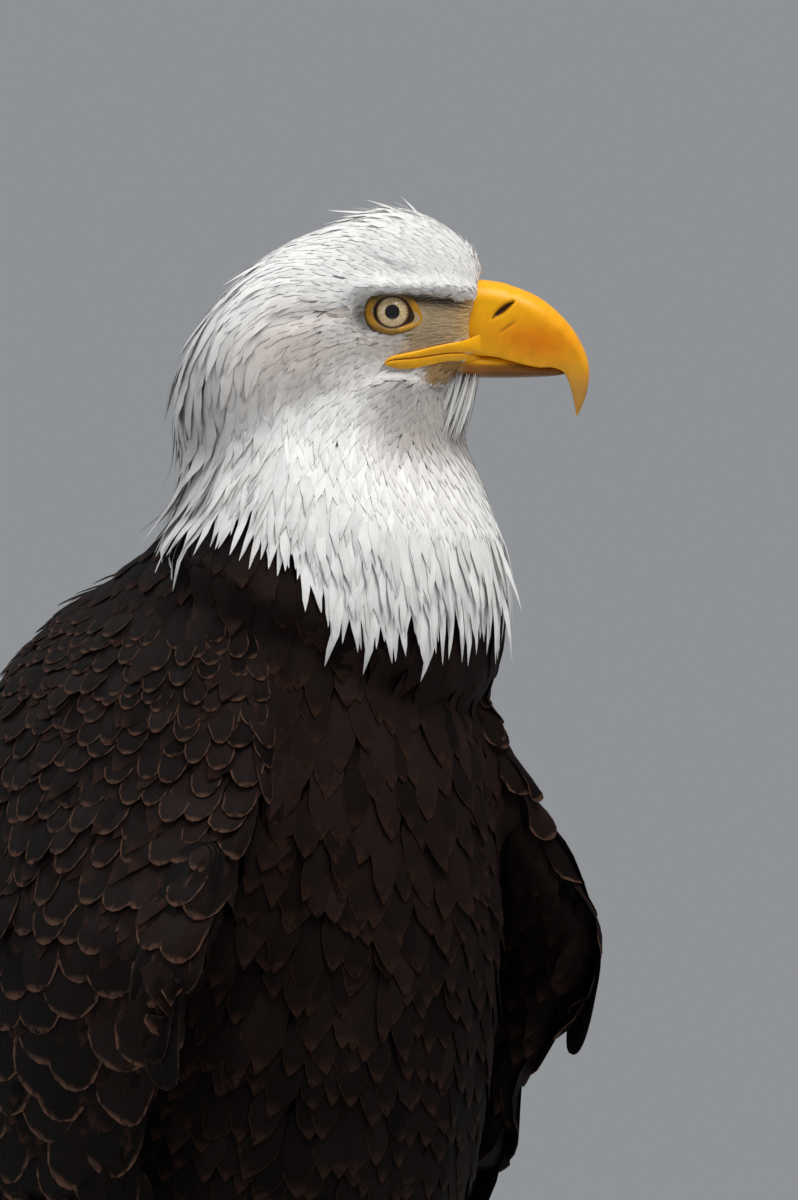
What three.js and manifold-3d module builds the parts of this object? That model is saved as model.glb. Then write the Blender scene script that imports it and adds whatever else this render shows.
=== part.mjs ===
// A bald eagle at rest: an adult bird standing on level ground, its head turned to its left,
// its wings folded and hanging a little loose. Life size, in millimetres, +Z up.
// The bird faces -Y and its left side is +X. Points are written as (side, fore, up):
// side is +X, fore is -Y, up is +Z, from a point on the ground between the feet. The finished bird
// is then moved so that the origin lies on the ground under the middle of its box.
import * as THREE from "three";
import { LoftGeometry } from "three/addons/geometries/LoftGeometry.js";
import { mergeVertices } from "three/addons/utils/BufferGeometryUtils.js";
import Module from "manifold-3d";

const wasm = await Module();
wasm.setup();

// ---- driving dimensions ----
const GAP = 0.35; // clear space between touching parts
const WING_GAP = 0.9; // the same round the thin curved edges of the wings
const EYE_HEIGHT = 662; // eyes above the ground
const HEAD_TURN = THREE.MathUtils.degToRad(45); // to the bird's left
const HEAD_FORE = 65; // the point between the eyes, ahead of the origin
const HEAD_SIDE = 31; // and to the left of the trunk's middle plane
const SMOOTHING = 0.1; // how far thinning out its faces may move a surface

// ---- plumage and skin colours ----
const paint = (color, roughness) =>
  new THREE.MeshStandardMaterial({ color, roughness, metalness: 0 });
const WHITE_FEATHER = paint(0xe9e6e0, 0.8);
const DARK_FEATHER = paint(0x2c2320, 0.75);
const FLIGHT_FEATHER = paint(0x1c1817, 0.6);
const BILL_HORN = paint(0xf0a51e, 0.4);
const IRIS = paint(0xd9c79a, 0.15);
const FOOT_SKIN = paint(0xe0a020, 0.55);
const CLAW_HORN = paint(0x15120f, 0.35);

// ---- shared shape tools ----

const at = (side, fore, up) => new THREE.Vector3(side, -fore, up);

// Value of a smooth curve through b and c, with a and d as the values on either side.
function smoothStep(a, b, c, d, t) {
  const bend = 2 * a - 5 * b + 4 * c - d + (3 * b - a - 3 * c + d) * t;
  return b + 0.5 * t * (c - a + t * bend);
}

// The named sizes at one share, 0 to 1, of the way through the stations.
function rowAt(stations, share) {
  const last = stations.length - 1;
  const along = share * last;
  const i = Math.min(Math.floor(along), last - 1);
  const pick = (k) => stations[THREE.MathUtils.clamp(k, 0, last)];
  const row = {};
  for (const key of Object.keys(stations[0])) {
    const around = [i - 1, i, i + 1, i + 2].map((k) => pick(k)[key]);
    row[key] = smoothStep(...around, along - i);
  }
  return row;
}

// The stations filled in to `count` rows.
function fillIn(stations, count) {
  return Array.from({ length: count }, (_, row) => rowAt(stations, row / (count - 1)));
}

// A closed section: `half` to each side, `ahead` and `behind` along the depth direction.
// power 2 is an ellipse and larger values are squarer.
function section({ middle, across, deep, half, ahead, behind, power = 2, points = 24 }) {
  return Array.from({ length: points }, (_, i) => {
    const angle = (i / points) * 2 * Math.PI;
    const c = Math.cos(angle);
    const s = Math.sin(angle);
    const out = Math.sign(c) * Math.abs(c) ** (2 / power) * half;
    const depth = Math.sign(s) * Math.abs(s) ** (2 / power) * (s > 0 ? ahead : behind);
    return middle.clone().addScaledVector(across, out).addScaledVector(deep, depth);
  });
}

// The solid of a closed three.js geometry.
function solidOf(geometry) {
  const bare = new THREE.BufferGeometry();
  bare.setAttribute("position", geometry.getAttribute("position"));
  bare.setIndex(geometry.index);
  const merged = mergeVertices(bare, 1e-3);
  const vertProperties = new Float32Array(merged.getAttribute("position").array);
  const triVerts = new Uint32Array(merged.index.array);
  return new wasm.Manifold(new wasm.Mesh({ numProp: 3, vertProperties, triVerts }));
}

const middleOf = (ring) => {
  return ring.reduce((sum, p) => sum.add(p), new THREE.Vector3()).divideScalar(ring.length);
};

// A skin through closed sections. Sections that run the other way round are reversed first, and
// grow moves the two end sections outwards.
function loft(sections, grow = 0) {
  const start = middleOf(sections[0]);
  const turn = new THREE.Vector3();
  sections[0].forEach((p, i, ring) => {
    turn.add(p.clone().sub(start).cross(ring[(i + 1) % ring.length].clone().sub(start)));
  });
  const ahead = middleOf(sections[1]).sub(start);
  const rings = sections.map((ring) => ring.map((p) => p.clone()));
  if (turn.dot(ahead) < 0) rings.forEach((ring) => ring.reverse());
  for (const [end, inner] of [[0, 1], [rings.length - 1, rings.length - 2]]) {
    const out = middleOf(rings[end]).sub(middleOf(rings[inner])).setLength(grow);
    rings[end].forEach((p) => p.add(out));
  }
  return solidOf(new LoftGeometry(rings, { capStart: true, capEnd: true }));
}

const joined = (solids) => solids.reduce((all, solid) => all.add(solid));

const without = (solid, cutters) => cutters.reduce((left, cutter) => left.subtract(cutter), solid);

// The largest piece of a solid, without the crumbs that a cut can leave.
function mainPiece(solid) {
  return solid.decompose().reduce((a, b) => (a.volume() > b.volume() ? a : b));
}

const group = new THREE.Group();

function addPart(name, solid, material) {
  const { vertProperties, triVerts, numProp } = mainPiece(solid).asOriginal().simplify(SMOOTHING).getMesh();
  const geometry = new THREE.BufferGeometry();
  const positions = new Float32Array((vertProperties.length / numProp) * 3);
  for (let i = 0; i < positions.length / 3; i++) {
    positions.set(vertProperties.subarray(i * numProp, i * numProp + 3), i * 3);
  }
  geometry.setAttribute("position", new THREE.BufferAttribute(positions, 3));
  geometry.setIndex(new THREE.BufferAttribute(triVerts, 1));
  geometry.computeVertexNormals();
  const mesh = new THREE.Mesh(geometry, material);
  mesh.name = name;
  group.add(mesh);
}

const SIDES = { left: 1, right: -1 };
const SIDEWAYS = new THREE.Vector3(1, 0, 0);
const UP = new THREE.Vector3(0, 0, 1);

// ---- trunk: from the rump and vent up over the breast and mantle to the root of the neck ----
// Each row gives the point on the breast line, the point on the back line and the half width.
const TRUNK = [
  { frontFore: -84, frontUp: 166, backFore: -134, backUp: 204, half: 30 },
  { frontFore: -34, frontUp: 152, backFore: -144, backUp: 232, half: 58 },
  { frontFore: 34, frontUp: 170, backFore: -145, backUp: 268, half: 80 },
  { frontFore: 84, frontUp: 228, backFore: -140, backUp: 308, half: 94 },
  { frontFore: 108, frontUp: 300, backFore: -134, backUp: 360, half: 101 },
  { frontFore: 117, frontUp: 372, backFore: -124, backUp: 414, half: 102 },
  { frontFore: 117, frontUp: 436, backFore: -110, backUp: 466, half: 97 },
  { frontFore: 108, frontUp: 486, backFore: -86, backUp: 512, half: 85 },
  { frontFore: 98, frontUp: 522, backFore: -52, backUp: 546, half: 70 },
  { frontFore: 86, frontUp: 546, backFore: -22, backUp: 564, half: 54 },
];
const TRUNK_ROWS = 15;

function trunkSolid(grow) {
  const sections = fillIn(TRUNK, TRUNK_ROWS).map((row) => {
    const front = at(0, row.frontFore, row.frontUp);
    const back = at(0, row.backFore, row.backUp);
    const deep = front.clone().sub(back).normalize();
    const reach = front.distanceTo(back) / 2 + grow;
    const middle = front.clone().add(back).multiplyScalar(0.5);
    const shape = { half: row.half + grow, ahead: reach, behind: reach, power: 2.45, points: 18 };
    return section({ middle, across: SIDEWAYS, deep, ...shape });
  });
  return loft(sections, grow);
}

// ---- neck: the white ruff, twisting from the trunk's heading to the head's ----
// Each row gives the middle, the share of the head's turn, the reaches and how far the front dips.
const NECK = [
  { side: 6, fore: 32, up: 535, turn: 0.8, half: 84, ahead: 92, behind: 68, dip: 26 },
  { side: 12, fore: 38, up: 554, turn: 0.9, half: 74, ahead: 88, behind: 66, dip: 18 },
  { side: 17, fore: 42, up: 579, turn: 1, half: 63, ahead: 76, behind: 67, dip: 9 },
  { side: 19, fore: 37, up: 606, turn: 1, half: 50, ahead: 61, behind: 64, dip: 3 },
  { side: 21, fore: 38, up: 624, turn: 1, half: 46, ahead: 58, behind: 66, dip: 1 },
  { side: 22, fore: 38, up: 644, turn: 1, half: 34, ahead: 38, behind: 57, dip: 0 },
];
const NECK_ROWS = 9;

function neckSolid(grow) {
  const sections = fillIn(NECK, NECK_ROWS).map((row) => {
    const across = new THREE.Vector3(1, 0, 0).applyAxisAngle(UP, row.turn * HEAD_TURN);
    const deep = UP.clone().cross(across).negate();
    deep.applyAxisAngle(across, THREE.MathUtils.degToRad(row.dip));
    const middle = at(row.side, row.fore, row.up);
    const reaches = { half: row.half + grow, ahead: row.ahead + grow, behind: row.behind + grow };
    return section({ middle, across, deep, ...reaches, points: 18 });
  });
  return loft(sections, grow);
}

// ---- head: skull and face in its own frame, eyes at the origin, facing -Y ----
const headPlace = new THREE.Matrix4()
  .makeTranslation(HEAD_SIDE, -HEAD_FORE, EYE_HEIGHT)
  .multiply(new THREE.Matrix4().makeRotationZ(HEAD_TURN));
const HEAD = [
  { fore: 39, top: 19.5, bottom: -24, half: 12 },
  { fore: 34, top: 30.5, bottom: -28.5, half: 18 },
  { fore: 24, top: 38.5, bottom: -31, half: 25 },
  { fore: 8, top: 46.5, bottom: -34, half: 31 },
  { fore: -10, top: 46, bottom: -38, half: 36 },
  { fore: -30, top: 38, bottom: -46, half: 40 },
  { fore: -50, top: 29.5, bottom: -56, half: 41 },
  { fore: -69, top: 14, bottom: -64, half: 37 },
  { fore: -84, top: -4, bottom: -66, half: 28 },
  { fore: -94, top: -28, bottom: -54, half: 11 },
];
const HEAD_ROWS = 15;
const EYE_SIDE = 20.5; // centre of each eyeball from the middle plane
const EYE_RADIUS = 11;

function headSolid(grow) {
  const sections = fillIn(HEAD, HEAD_ROWS).map((row) => {
    const reach = (row.top - row.bottom) / 2 + grow;
    const middle = at(0, row.fore, (row.top + row.bottom) / 2);
    const shape = { half: row.half + grow, ahead: reach, behind: reach, power: 2.3, points: 18 };
    return section({ middle, across: SIDEWAYS, deep: UP, ...shape });
  });
  return loft(sections, grow);
}

// An ellipsoid in the head's frame.
function blob(sign, { side, fore, up, halfSide, halfFore, halfUp }, bands) {
  const geometry = new THREE.SphereGeometry(1, bands, Math.round(bands * 0.6));
  geometry.scale(halfSide, halfFore, halfUp).translate(sign * side, -fore, up);
  return solidOf(geometry);
}

function eyeball(sign, grow) {
  const r = EYE_RADIUS + grow;
  return blob(sign, { side: EYE_SIDE, fore: 0, up: 0, halfSide: r, halfFore: r, halfUp: r }, 12);
}

// The dish that each eye looks out of, and the hollow of the lores between eye and bill.
const EYE_DISH = { side: 34, fore: 1, up: 0, halfSide: 6, halfFore: 12, halfUp: 9.5 };
const LORE_HOLLOW = { side: 39, fore: 26, up: -4, halfSide: 16, halfFore: 17, halfUp: 10 };
const eyeDish = (sign) => blob(sign, EYE_DISH, 10);
const loreHollow = (sign) => blob(sign, LORE_HOLLOW, 10);

// ---- bill ----
// Each row of the upper bill gives a point on the ridge, one on the cutting edge and the half width.
const UPPER_BILL = [
  { topFore: 34, topUp: 15, edgeFore: 27, edgeUp: -19.3, half: 13.2 },
  { topFore: 45, topUp: 13.2, edgeFore: 36, edgeUp: -18.6, half: 13.6 },
  { topFore: 55, topUp: 10, edgeFore: 46, edgeUp: -19.2, half: 13 },
  { topFore: 65.5, topUp: 4.8, edgeFore: 55, edgeUp: -21.2, half: 11.8 },
  { topFore: 76, topUp: -4, edgeFore: 64, edgeUp: -24, half: 10 },
  { topFore: 83, topUp: -14, edgeFore: 71, edgeUp: -25.6, half: 8 },
  { topFore: 85.6, topUp: -24, edgeFore: 76, edgeUp: -29, half: 5.6 },
  { topFore: 84.8, topUp: -34, edgeFore: 78.6, edgeUp: -36, half: 3 },
  { topFore: 81.5, topUp: -43.5, edgeFore: 80.4, edgeUp: -43.4, half: 0.7 },
];
const BILL_ROWS = 13;
const EDGE_SHARE = 0.36; // how far up from the cutting edge the upper bill is widest

function upperBill(grow) {
  const sections = fillIn(UPPER_BILL, BILL_ROWS).map((row) => {
    const top = at(0, row.topFore, row.topUp);
    const edge = at(0, row.edgeFore, row.edgeUp);
    const deep = top.clone().sub(edge).normalize();
    const reach = top.distanceTo(edge);
    const behind = reach * EDGE_SHARE;
    const middle = edge.clone().addScaledVector(deep, behind);
    const shape = { half: row.half + grow, ahead: reach - behind + grow, behind: behind + grow };
    return section({ middle, across: SIDEWAYS, deep, ...shape, power: 2.2, points: 16 });
  });
  return loft(sections, grow);
}

const LOWER_BILL = [
  { fore: 27, top: -20, bottom: -28, half: 13.4 },
  { fore: 42, top: -19.6, bottom: -28.5, half: 11.2 },
  { fore: 56, top: -22.5, bottom: -28.5, half: 8.2 },
  { fore: 66, top: -25.5, bottom: -28, half: 4.6 },
];

function lowerBill(grow) {
  const sections = fillIn(LOWER_BILL, 6).map((row) => {
    const reach = (row.top - row.bottom) / 2 + grow;
    const middle = at(0, row.fore, (row.top + row.bottom) / 2);
    const shape = { half: row.half + grow, ahead: reach, behind: reach, power: 2.6, points: 12 };
    return section({ middle, across: SIDEWAYS, deep: UP, ...shape });
  });
  return loft(sections, grow);
}

// One fleshy lip of the yellow rim that runs from the corner of the mouth forward to the bill.
// above is 1 for the upper lip and -1 for the lower, and the path is the line between the two.
const MOUTH_LINE = [
  { side: 26.8, fore: -2, up: -21 },
  { side: 25.8, fore: 6, up: -19.8 },
  { side: 22.5, fore: 16, up: -19.3 },
  { side: 17, fore: 27, up: -19.5 },
  { side: 12.5, fore: 36, up: -19.9 },
];
const LIP_THICK = 3.4;
const LIP_HALF_WIDTH = { corner: 1.4, bill: 3.2 };

function lip(sign, above, grow) {
  const reach = LIP_THICK / 2 + grow;
  const lift = (LIP_THICK / 2 + GAP / 2) * above;
  const points = MOUTH_LINE.map(({ side, fore, up }) => at(sign * side, fore, up + lift));
  const { corner, bill } = LIP_HALF_WIDTH;
  const sections = new THREE.CatmullRomCurve3(points).getSpacedPoints(5).map((middle, i) => {
    const half = THREE.MathUtils.lerp(corner, bill, Math.min(i / 2, 1)) + grow;
    return section({ middle, across: SIDEWAYS, deep: UP, half, ahead: reach, behind: reach, points: 6 });
  });
  return loft(sections, grow);
}

// ---- wings: the folded wing lies on a curved sheet from its leading edge round to its back edge ----
// Each row gives the leading edge, the point that pulls the sheet outwards, the back edge and
// the thickness.
const WING = [
  {
    foreSide: 48, foreFore: 52, foreUp: 536, midSide: 80, midFore: -24, midUp: 543,
    hindSide: 22, hindFore: -48, hindUp: 550, thick: 12,
  },
  {
    foreSide: 66, foreFore: 80, foreUp: 508, midSide: 118, midFore: -47, midUp: 524,
    hindSide: 20, hindFore: -84, hindUp: 530, thick: 22,
  },
  {
    foreSide: 77, foreFore: 98, foreUp: 466, midSide: 154, midFore: -78, midUp: 486,
    hindSide: 18, hindFore: -112, hindUp: 496, thick: 28,
  },
  {
    foreSide: 105, foreFore: 101, foreUp: 426, midSide: 162, midFore: -80, midUp: 436,
    hindSide: 18, hindFore: -128, hindUp: 446, thick: 30,
  },
  {
    foreSide: 131, foreFore: 100, foreUp: 380, midSide: 160, midFore: -84, midUp: 386,
    hindSide: 18, hindFore: -138, hindUp: 394, thick: 28,
  },
  {
    foreSide: 122, foreFore: 64, foreUp: 332, midSide: 150, midFore: -94, midUp: 332,
    hindSide: 19, hindFore: -148, hindUp: 338, thick: 22,
  },
  {
    foreSide: 117, foreFore: 52, foreUp: 278, midSide: 136, midFore: -106, midUp: 278,
    hindSide: 21, hindFore: -159, hindUp: 284, thick: 15,
  },
  {
    foreSide: 103, foreFore: 14, foreUp: 218, midSide: 114, midFore: -118, midUp: 222,
    hindSide: 22, hindFore: -172, hindUp: 234, thick: 9,
  },
  {
    foreSide: 80, foreFore: -56, foreUp: 166, midSide: 82, midFore: -146, midUp: 174,
    hindSide: 21, hindFore: -193, hindUp: 190, thick: 7,
  },
  {
    foreSide: 52, foreFore: -138, foreUp: 128, midSide: 50, midFore: -188, midUp: 138,
    hindSide: 18, hindFore: -219, hindUp: 150, thick: 6,
  },
  {
    foreSide: 30, foreFore: -226, foreUp: 98, midSide: 27, midFore: -238, midUp: 102,
    hindSide: 18, hindFore: -248, hindUp: 108, thick: 5,
  },
];

// A point of the folded wing's sheet. along runs 0 to 1 from shoulder to tip, across from
// the leading edge to the back edge, and depth is how far the point lies under the sheet.
function wingPoint(sign, along, across, depth = 0) {
  const outer = (a, c) => {
    const row = rowAt(WING, a);
    const fore = at(row.foreSide, row.foreFore, row.foreUp);
    const mid = at(row.midSide, row.midFore, row.midUp);
    const hind = at(row.hindSide, row.hindFore, row.hindUp);
    return new THREE.QuadraticBezierCurve3(fore, mid, hind).getPoint(c);
  };
  const STEP = 0.01;
  const a = THREE.MathUtils.clamp(along, STEP, 1 - STEP);
  const down = outer(a + STEP, across).sub(outer(a - STEP, across));
  const round = outer(a, across + STEP).sub(outer(a, across - STEP));
  const here = outer(along, across).addScaledVector(round.cross(down).normalize(), depth);
  here.x *= sign;
  return here;
}

const ARM_END = 0.6; // the small feathers end here, and the flight feathers reach on
const ARM_ROWS = 9;
const ARM_POINTS = 9;
const ARM_FULLNESS = [0.2, 0.9]; // the part of a sine hump that its thickness follows

function wingArm(sign, grow) {
  const sections = [];
  for (let r = 0; r < ARM_ROWS; r++) {
    const along = (r / (ARM_ROWS - 1)) * ARM_END;
    const thick = rowAt(WING, along).thick;
    const width = wingPoint(sign, along, 0).distanceTo(wingPoint(sign, along, 1));
    const outer = [];
    const inner = [];
    for (let p = 0; p < ARM_POINTS; p++) {
      const across = p / (ARM_POINTS - 1);
      const share = Math.sin(Math.PI * THREE.MathUtils.lerp(...ARM_FULLNESS, across)) ** 0.8;
      const widened = across + (2 * across - 1) * (grow / width);
      outer.push(wingPoint(sign, along, widened, -grow));
      inner.unshift(wingPoint(sign, along, widened, thick * share + grow));
    }
    sections.push([...outer, ...inner]);
  }
  return loft(sections, 3 * grow); // the ends aren't flat, so they are moved further
}

// A row of long quills as one sheet, each lapping over the next, with a step between them and
// rounded tips. place(share, reach, depth) gives a point: share runs 0 to 1 over the row, reach
// from root to tip, and depth is the level under the outer face. Where lapSide is positive the
// quills dip towards the end of the row, and elsewhere towards its start.
const QUILL_THICK = 2.2;
const QUILL_LAP = 1;
const QUILL_COLUMNS = [0, 0.28, 0.72];
const QUILL_REACHES = [0, 0.35, 0.7, 1];

function quillSheet(count, place, tipOf, tipRound, lapSide, grow) {
  const columns = [];
  for (let i = 0; i < count; i++) {
    for (const v of QUILL_COLUMNS) columns.push({ i, v });
  }
  columns.push({ i: count - 1, v: 1 });
  return loft(columns.map(({ i, v }) => {
    const share = (i + v) / count;
    const tip = tipOf((i + 0.5) / count) - tipRound * (2 * v - 1) ** 2;
    const lap = QUILL_LAP * (lapSide(share) > 0 ? v : 1 - v);
    const face = (level) => QUILL_REACHES.map((t) => place(share, t * tip, lap + level));
    return [...face(-grow), ...face(QUILL_THICK + grow).reverse()];
  }), grow);
}

// Secondaries lie over the primaries, and the longest primary reaches the end of the sheet.
const SECONDARIES = {
  count: 6, start: 0.57, acrossRoot: [0.2, 1], acrossTip: [0.34, 1],
  longest: 0.86, longestShare: 0.75, shortening: 0.12, depth: 0.6, tipRound: 0.05,
};
const PRIMARIES = {
  count: 6, start: 0.57, acrossRoot: [0.02, 0.6], acrossTip: [0.05, 0.95],
  longest: 1, longestShare: 0.35, shortening: 0.16, depth: 4.6, tipRound: 0.06,
};

function flightFeathers(sign, kind, grow) {
  const place = (share, reach, depth) => {
    const along = THREE.MathUtils.lerp(kind.start, 1, reach);
    const ends = [kind.acrossRoot, kind.acrossTip].map((pair) => THREE.MathUtils.lerp(...pair, share));
    return wingPoint(sign, along, THREE.MathUtils.lerp(...ends, reach), kind.depth + depth);
  };
  const tipOf = (share) => {
    const tip = kind.longest - kind.shortening * Math.abs(share - kind.longestShare);
    return (tip - kind.start) / (1 - kind.start);
  };
  return quillSheet(kind.count, place, tipOf, kind.tipRound, () => -1, grow);
}

// The bastard wing: a short dark quill that follows the leading edge down from the wrist and
// ends in a point of its own.
const ALULA = [
  { side: 102, fore: 92, up: 438, half: 7 },
  { side: 117, fore: 93, up: 410, half: 11 },
  { side: 129, fore: 91, up: 382, half: 13.5 },
  { side: 129, fore: 87, up: 356, half: 10 },
  { side: 124, fore: 86, up: 334, half: 1 },
];
const ALULA_THICK = 2.6;
const ALULA_TOE_IN = 0.25; // its front edge turns in towards the breast

function alula(sign, grow) {
  const across = at(sign * ALULA_TOE_IN, -1, 0).normalize();
  const deep = at(sign, ALULA_TOE_IN, 0).normalize();
  return loft(fillIn(ALULA, 9).map(({ side, fore, up, half }) => {
    const middle = at(sign * side, fore, up);
    const reach = ALULA_THICK / 2 + grow;
    return section({ middle, across, deep, half: half + grow, ahead: reach, behind: reach, points: 8 });
  }), grow);
}

const wingSolid = (sign, grow) => joined([wingArm(sign, grow), alula(sign, grow)]);

// ---- tail: coverts over and under twelve quills, of which the fan shows seven ----
const TAIL_ROOT = { fore: -98, up: 204 };
const TAIL_DROOP = THREE.MathUtils.degToRad(42); // below level
const TAIL_LENGTH = 262;
const TAIL_COVERTS = [
  { reach: 0, half: 36, over: 26, under: 30 },
  { reach: 50, half: 40, over: 20, under: 24 },
  { reach: 105, half: 42, over: 11, under: 15 },
  { reach: 155, half: 40, over: 5, under: 7 },
  { reach: 186, half: 28, over: 2, under: 3 },
];
const TAIL_QUILLS = 7;
const TAIL_ROOT_WIDTH = 62;
const TAIL_TIP_WIDTH = 104;
const TAIL_QUILL_START = 70;
const TAIL_SAG = 5; // the outer quills lie lower than the middle ones

const tailAxis = at(0, -Math.cos(TAIL_DROOP), -Math.sin(TAIL_DROOP));
const tailOver = at(0, -Math.sin(TAIL_DROOP), Math.cos(TAIL_DROOP));
const tailRoot = at(0, TAIL_ROOT.fore, TAIL_ROOT.up);

function tailSolid(grow) {
  const coverts = loft(fillIn(TAIL_COVERTS, 7).map(({ reach, half, over, under }) => {
    const middle = tailRoot.clone().addScaledVector(tailAxis, reach);
    const reaches = { half: half + grow, ahead: over + grow, behind: under + grow };
    return section({ middle, across: SIDEWAYS, deep: tailOver, ...reaches, power: 2.4, points: 12 });
  }), grow);
  const place = (share, reach, depth) => {
    const out = TAIL_QUILL_START + reach * (TAIL_LENGTH - TAIL_QUILL_START);
    const width = THREE.MathUtils.lerp(TAIL_ROOT_WIDTH, TAIL_TIP_WIDTH, reach);
    const point = tailRoot.clone().addScaledVector(tailAxis, out).addScaledVector(tailOver, 1 - depth);
    point.addScaledVector(SIDEWAYS, (share - 0.5) * width);
    return point.addScaledVector(tailOver, -TAIL_SAG * (2 * share - 1) ** 2);
  };
  const tipOf = (share) => 1 - 0.2 * Math.abs(share - 0.5) ** 1.5;
  const quills = quillSheet(TAIL_QUILLS, place, tipOf, 0.05, (share) => share - 0.5, grow);
  return joined([coverts, quills]);
}

// ---- legs: feathered thigh, scaled shank, four toes and their claws ----
const FOOT_SIDE = 52;
const FOOT_FORE = -6;
const THIGH = [
  { side: 46, fore: 12, up: 272, half: 40, deep: 62 },
  { side: 50, fore: 16, up: 232, half: 44, deep: 62 },
  { side: 54, fore: 10, up: 188, half: 41, deep: 52 },
  { side: 56, fore: -4, up: 146, half: 33, deep: 39 },
  { side: 55, fore: -18, up: 110, half: 24, deep: 28 },
  { side: 54, fore: -25, up: 82, half: 15, deep: 17 },
];
const SHANK = [
  { side: 54, fore: -32, up: 112, half: 10, deep: 12 },
  { side: 54, fore: -26, up: 80, half: 8.8, deep: 10 },
  { side: 53, fore: -17, up: 46, half: 8.4, deep: 9.6 },
  { side: 52, fore: -9, up: 23, half: 10.6, deep: 11.4 },
  { side: 52, fore: -6, up: 13, half: 12, deep: 12 },
];

function limb(stations, rows, points, sign, grow) {
  return loft(fillIn(stations, rows).map((row) => {
    const middle = at(sign * row.side, row.fore, row.up);
    const reach = row.deep + grow;
    const shape = { half: row.half + grow, ahead: reach, behind: reach, points };
    return section({ middle, across: SIDEWAYS, deep: at(0, 1, 0), ...shape });
  }), grow);
}

// Toes: direction from straight ahead (outwards is positive), length, girth and claw length.
const TOES = [
  { name: "inner", heading: -27, length: 51, girth: 8.6, claw: 38 },
  { name: "middle", heading: 5, length: 69, girth: 8.5, claw: 32 },
  { name: "outer", heading: 37, length: 54, girth: 7.8, claw: 29 },
  { name: "hind", heading: 188, length: 35, girth: 8.8, claw: 40 },
];
const SOLE_CUT = 1.2; // how deep the floor cuts into each round toe to leave its flat
// Each pad and joint of a toe: its share of the length, and its share of the girth.
const TOE_PADS = [[-0.06, 1.15], [0.16, 1.08], [0.34, 0.92], [0.5, 1.02], [0.78, 0.94], [1, 0.66]];

const toeAhead = (sign, { heading }) => {
  const turn = THREE.MathUtils.degToRad(heading) * sign;
  return at(Math.sin(turn), Math.cos(turn), 0);
};

function toe(sign, kind, grow) {
  const ahead = toeAhead(sign, kind);
  const across = ahead.clone().cross(UP);
  const start = at(sign * FOOT_SIDE, FOOT_FORE, 0);
  return loft(TOE_PADS.map(([share, size]) => {
    const girth = kind.girth * size;
    const middle = start.clone().addScaledVector(ahead, share * kind.length);
    middle.z = girth - SOLE_CUT;
    return section({
      middle, across, deep: UP, half: girth + grow, ahead: girth * 1.06 + grow,
      behind: girth + grow, points: 7,
    });
  }));
}

// A claw leaves the toe's end rising a little and curls down through its sweep.
const CLAW_UP = 9;
const CLAW_RISE = THREE.MathUtils.degToRad(34);
const CLAW_SWEEP = THREE.MathUtils.degToRad(95);
const CLAW_GIRTH = { root: 5.2, tip: 0.5 };
const CLAW_ROWS = 6;

function claw(sign, kind) {
  const ahead = toeAhead(sign, kind);
  const across = ahead.clone().cross(UP);
  const radius = kind.claw / CLAW_SWEEP;
  const centre = at(sign * FOOT_SIDE, FOOT_FORE, CLAW_UP - radius * Math.cos(CLAW_RISE));
  centre.addScaledVector(ahead, kind.length - 5 + radius * Math.sin(CLAW_RISE));
  return loft(Array.from({ length: CLAW_ROWS }, (_, i) => {
    const t = i / (CLAW_ROWS - 1);
    const turn = CLAW_RISE - t * CLAW_SWEEP;
    const deep = ahead.clone().multiplyScalar(-Math.sin(turn)).addScaledVector(UP, Math.cos(turn));
    const middle = centre.clone().addScaledVector(deep, radius);
    const girth = THREE.MathUtils.lerp(CLAW_GIRTH.root, CLAW_GIRTH.tip, t ** 1.2);
    return section({ middle, across, deep, half: girth * 0.8, ahead: girth, behind: girth, points: 6 });
  }));
}

const ANKLE = 3; // the row of SHANK where the bare shank ends and the foot takes over
const ANKLE_SWELL = 1.5;
const thighSolid = (sign, grow) => limb(THIGH, 8, 12, sign, grow);
const shankSolid = (sign, grow = 0) => limb(SHANK.slice(0, ANKLE + 1), 6, 12, sign, grow);
const footSolid = (sign, grow) => joined([
  ...TOES.map((kind) => toe(sign, kind, grow)),
  limb(SHANK.slice(ANKLE), 3, 12, sign, ANKLE_SWELL + grow),
]).trimByPlane([0, 0, 1], -grow);

// ---- the parts, each cut back from the ones that it meets ----
const both = (make) => Object.values(SIDES).map(make);
const inWorld = (solid) => solid.transform(headPlace.elements);
const lips = (above, grow) => both((sign) => lip(sign, above, grow));

function addHead() {
  const cutters = [upperBill(GAP), lowerBill(GAP), ...lips(1, GAP), ...lips(-1, GAP)];
  cutters.push(...both((sign) => eyeball(sign, GAP)), ...both(eyeDish), ...both(loreHollow));
  addPart("head", inWorld(without(headSolid(0), cutters)), WHITE_FEATHER);
  for (const [name, sign] of Object.entries(SIDES)) {
    addPart(`eye_${name}`, inWorld(eyeball(sign, 0)), IRIS);
  }
}

function addBill() {
  const upper = joined([upperBill(0), ...lips(1, 0)]);
  const lower = joined([lowerBill(0), ...lips(-1, 0)]);
  addPart("bill_upper", inWorld(without(upper, lips(-1, GAP))), BILL_HORN);
  addPart("bill_lower", inWorld(without(lower, [upperBill(GAP), ...lips(1, GAP)])), BILL_HORN);
}

function addWing(name, sign) {
  const arm = wingSolid(sign, WING_GAP);
  addPart(`wing_${name}`, wingSolid(sign, 0), DARK_FEATHER);
  const secondaries = without(flightFeathers(sign, SECONDARIES, 0), [arm, trunkSolid(GAP)]);
  addPart(`secondaries_${name}`, secondaries, FLIGHT_FEATHER);
  const over = [arm, trunkSolid(GAP), flightFeathers(sign, SECONDARIES, GAP), tailSolid(GAP)];
  addPart(`primaries_${name}`, without(flightFeathers(sign, PRIMARIES, 0), over), FLIGHT_FEATHER);
}

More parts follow.
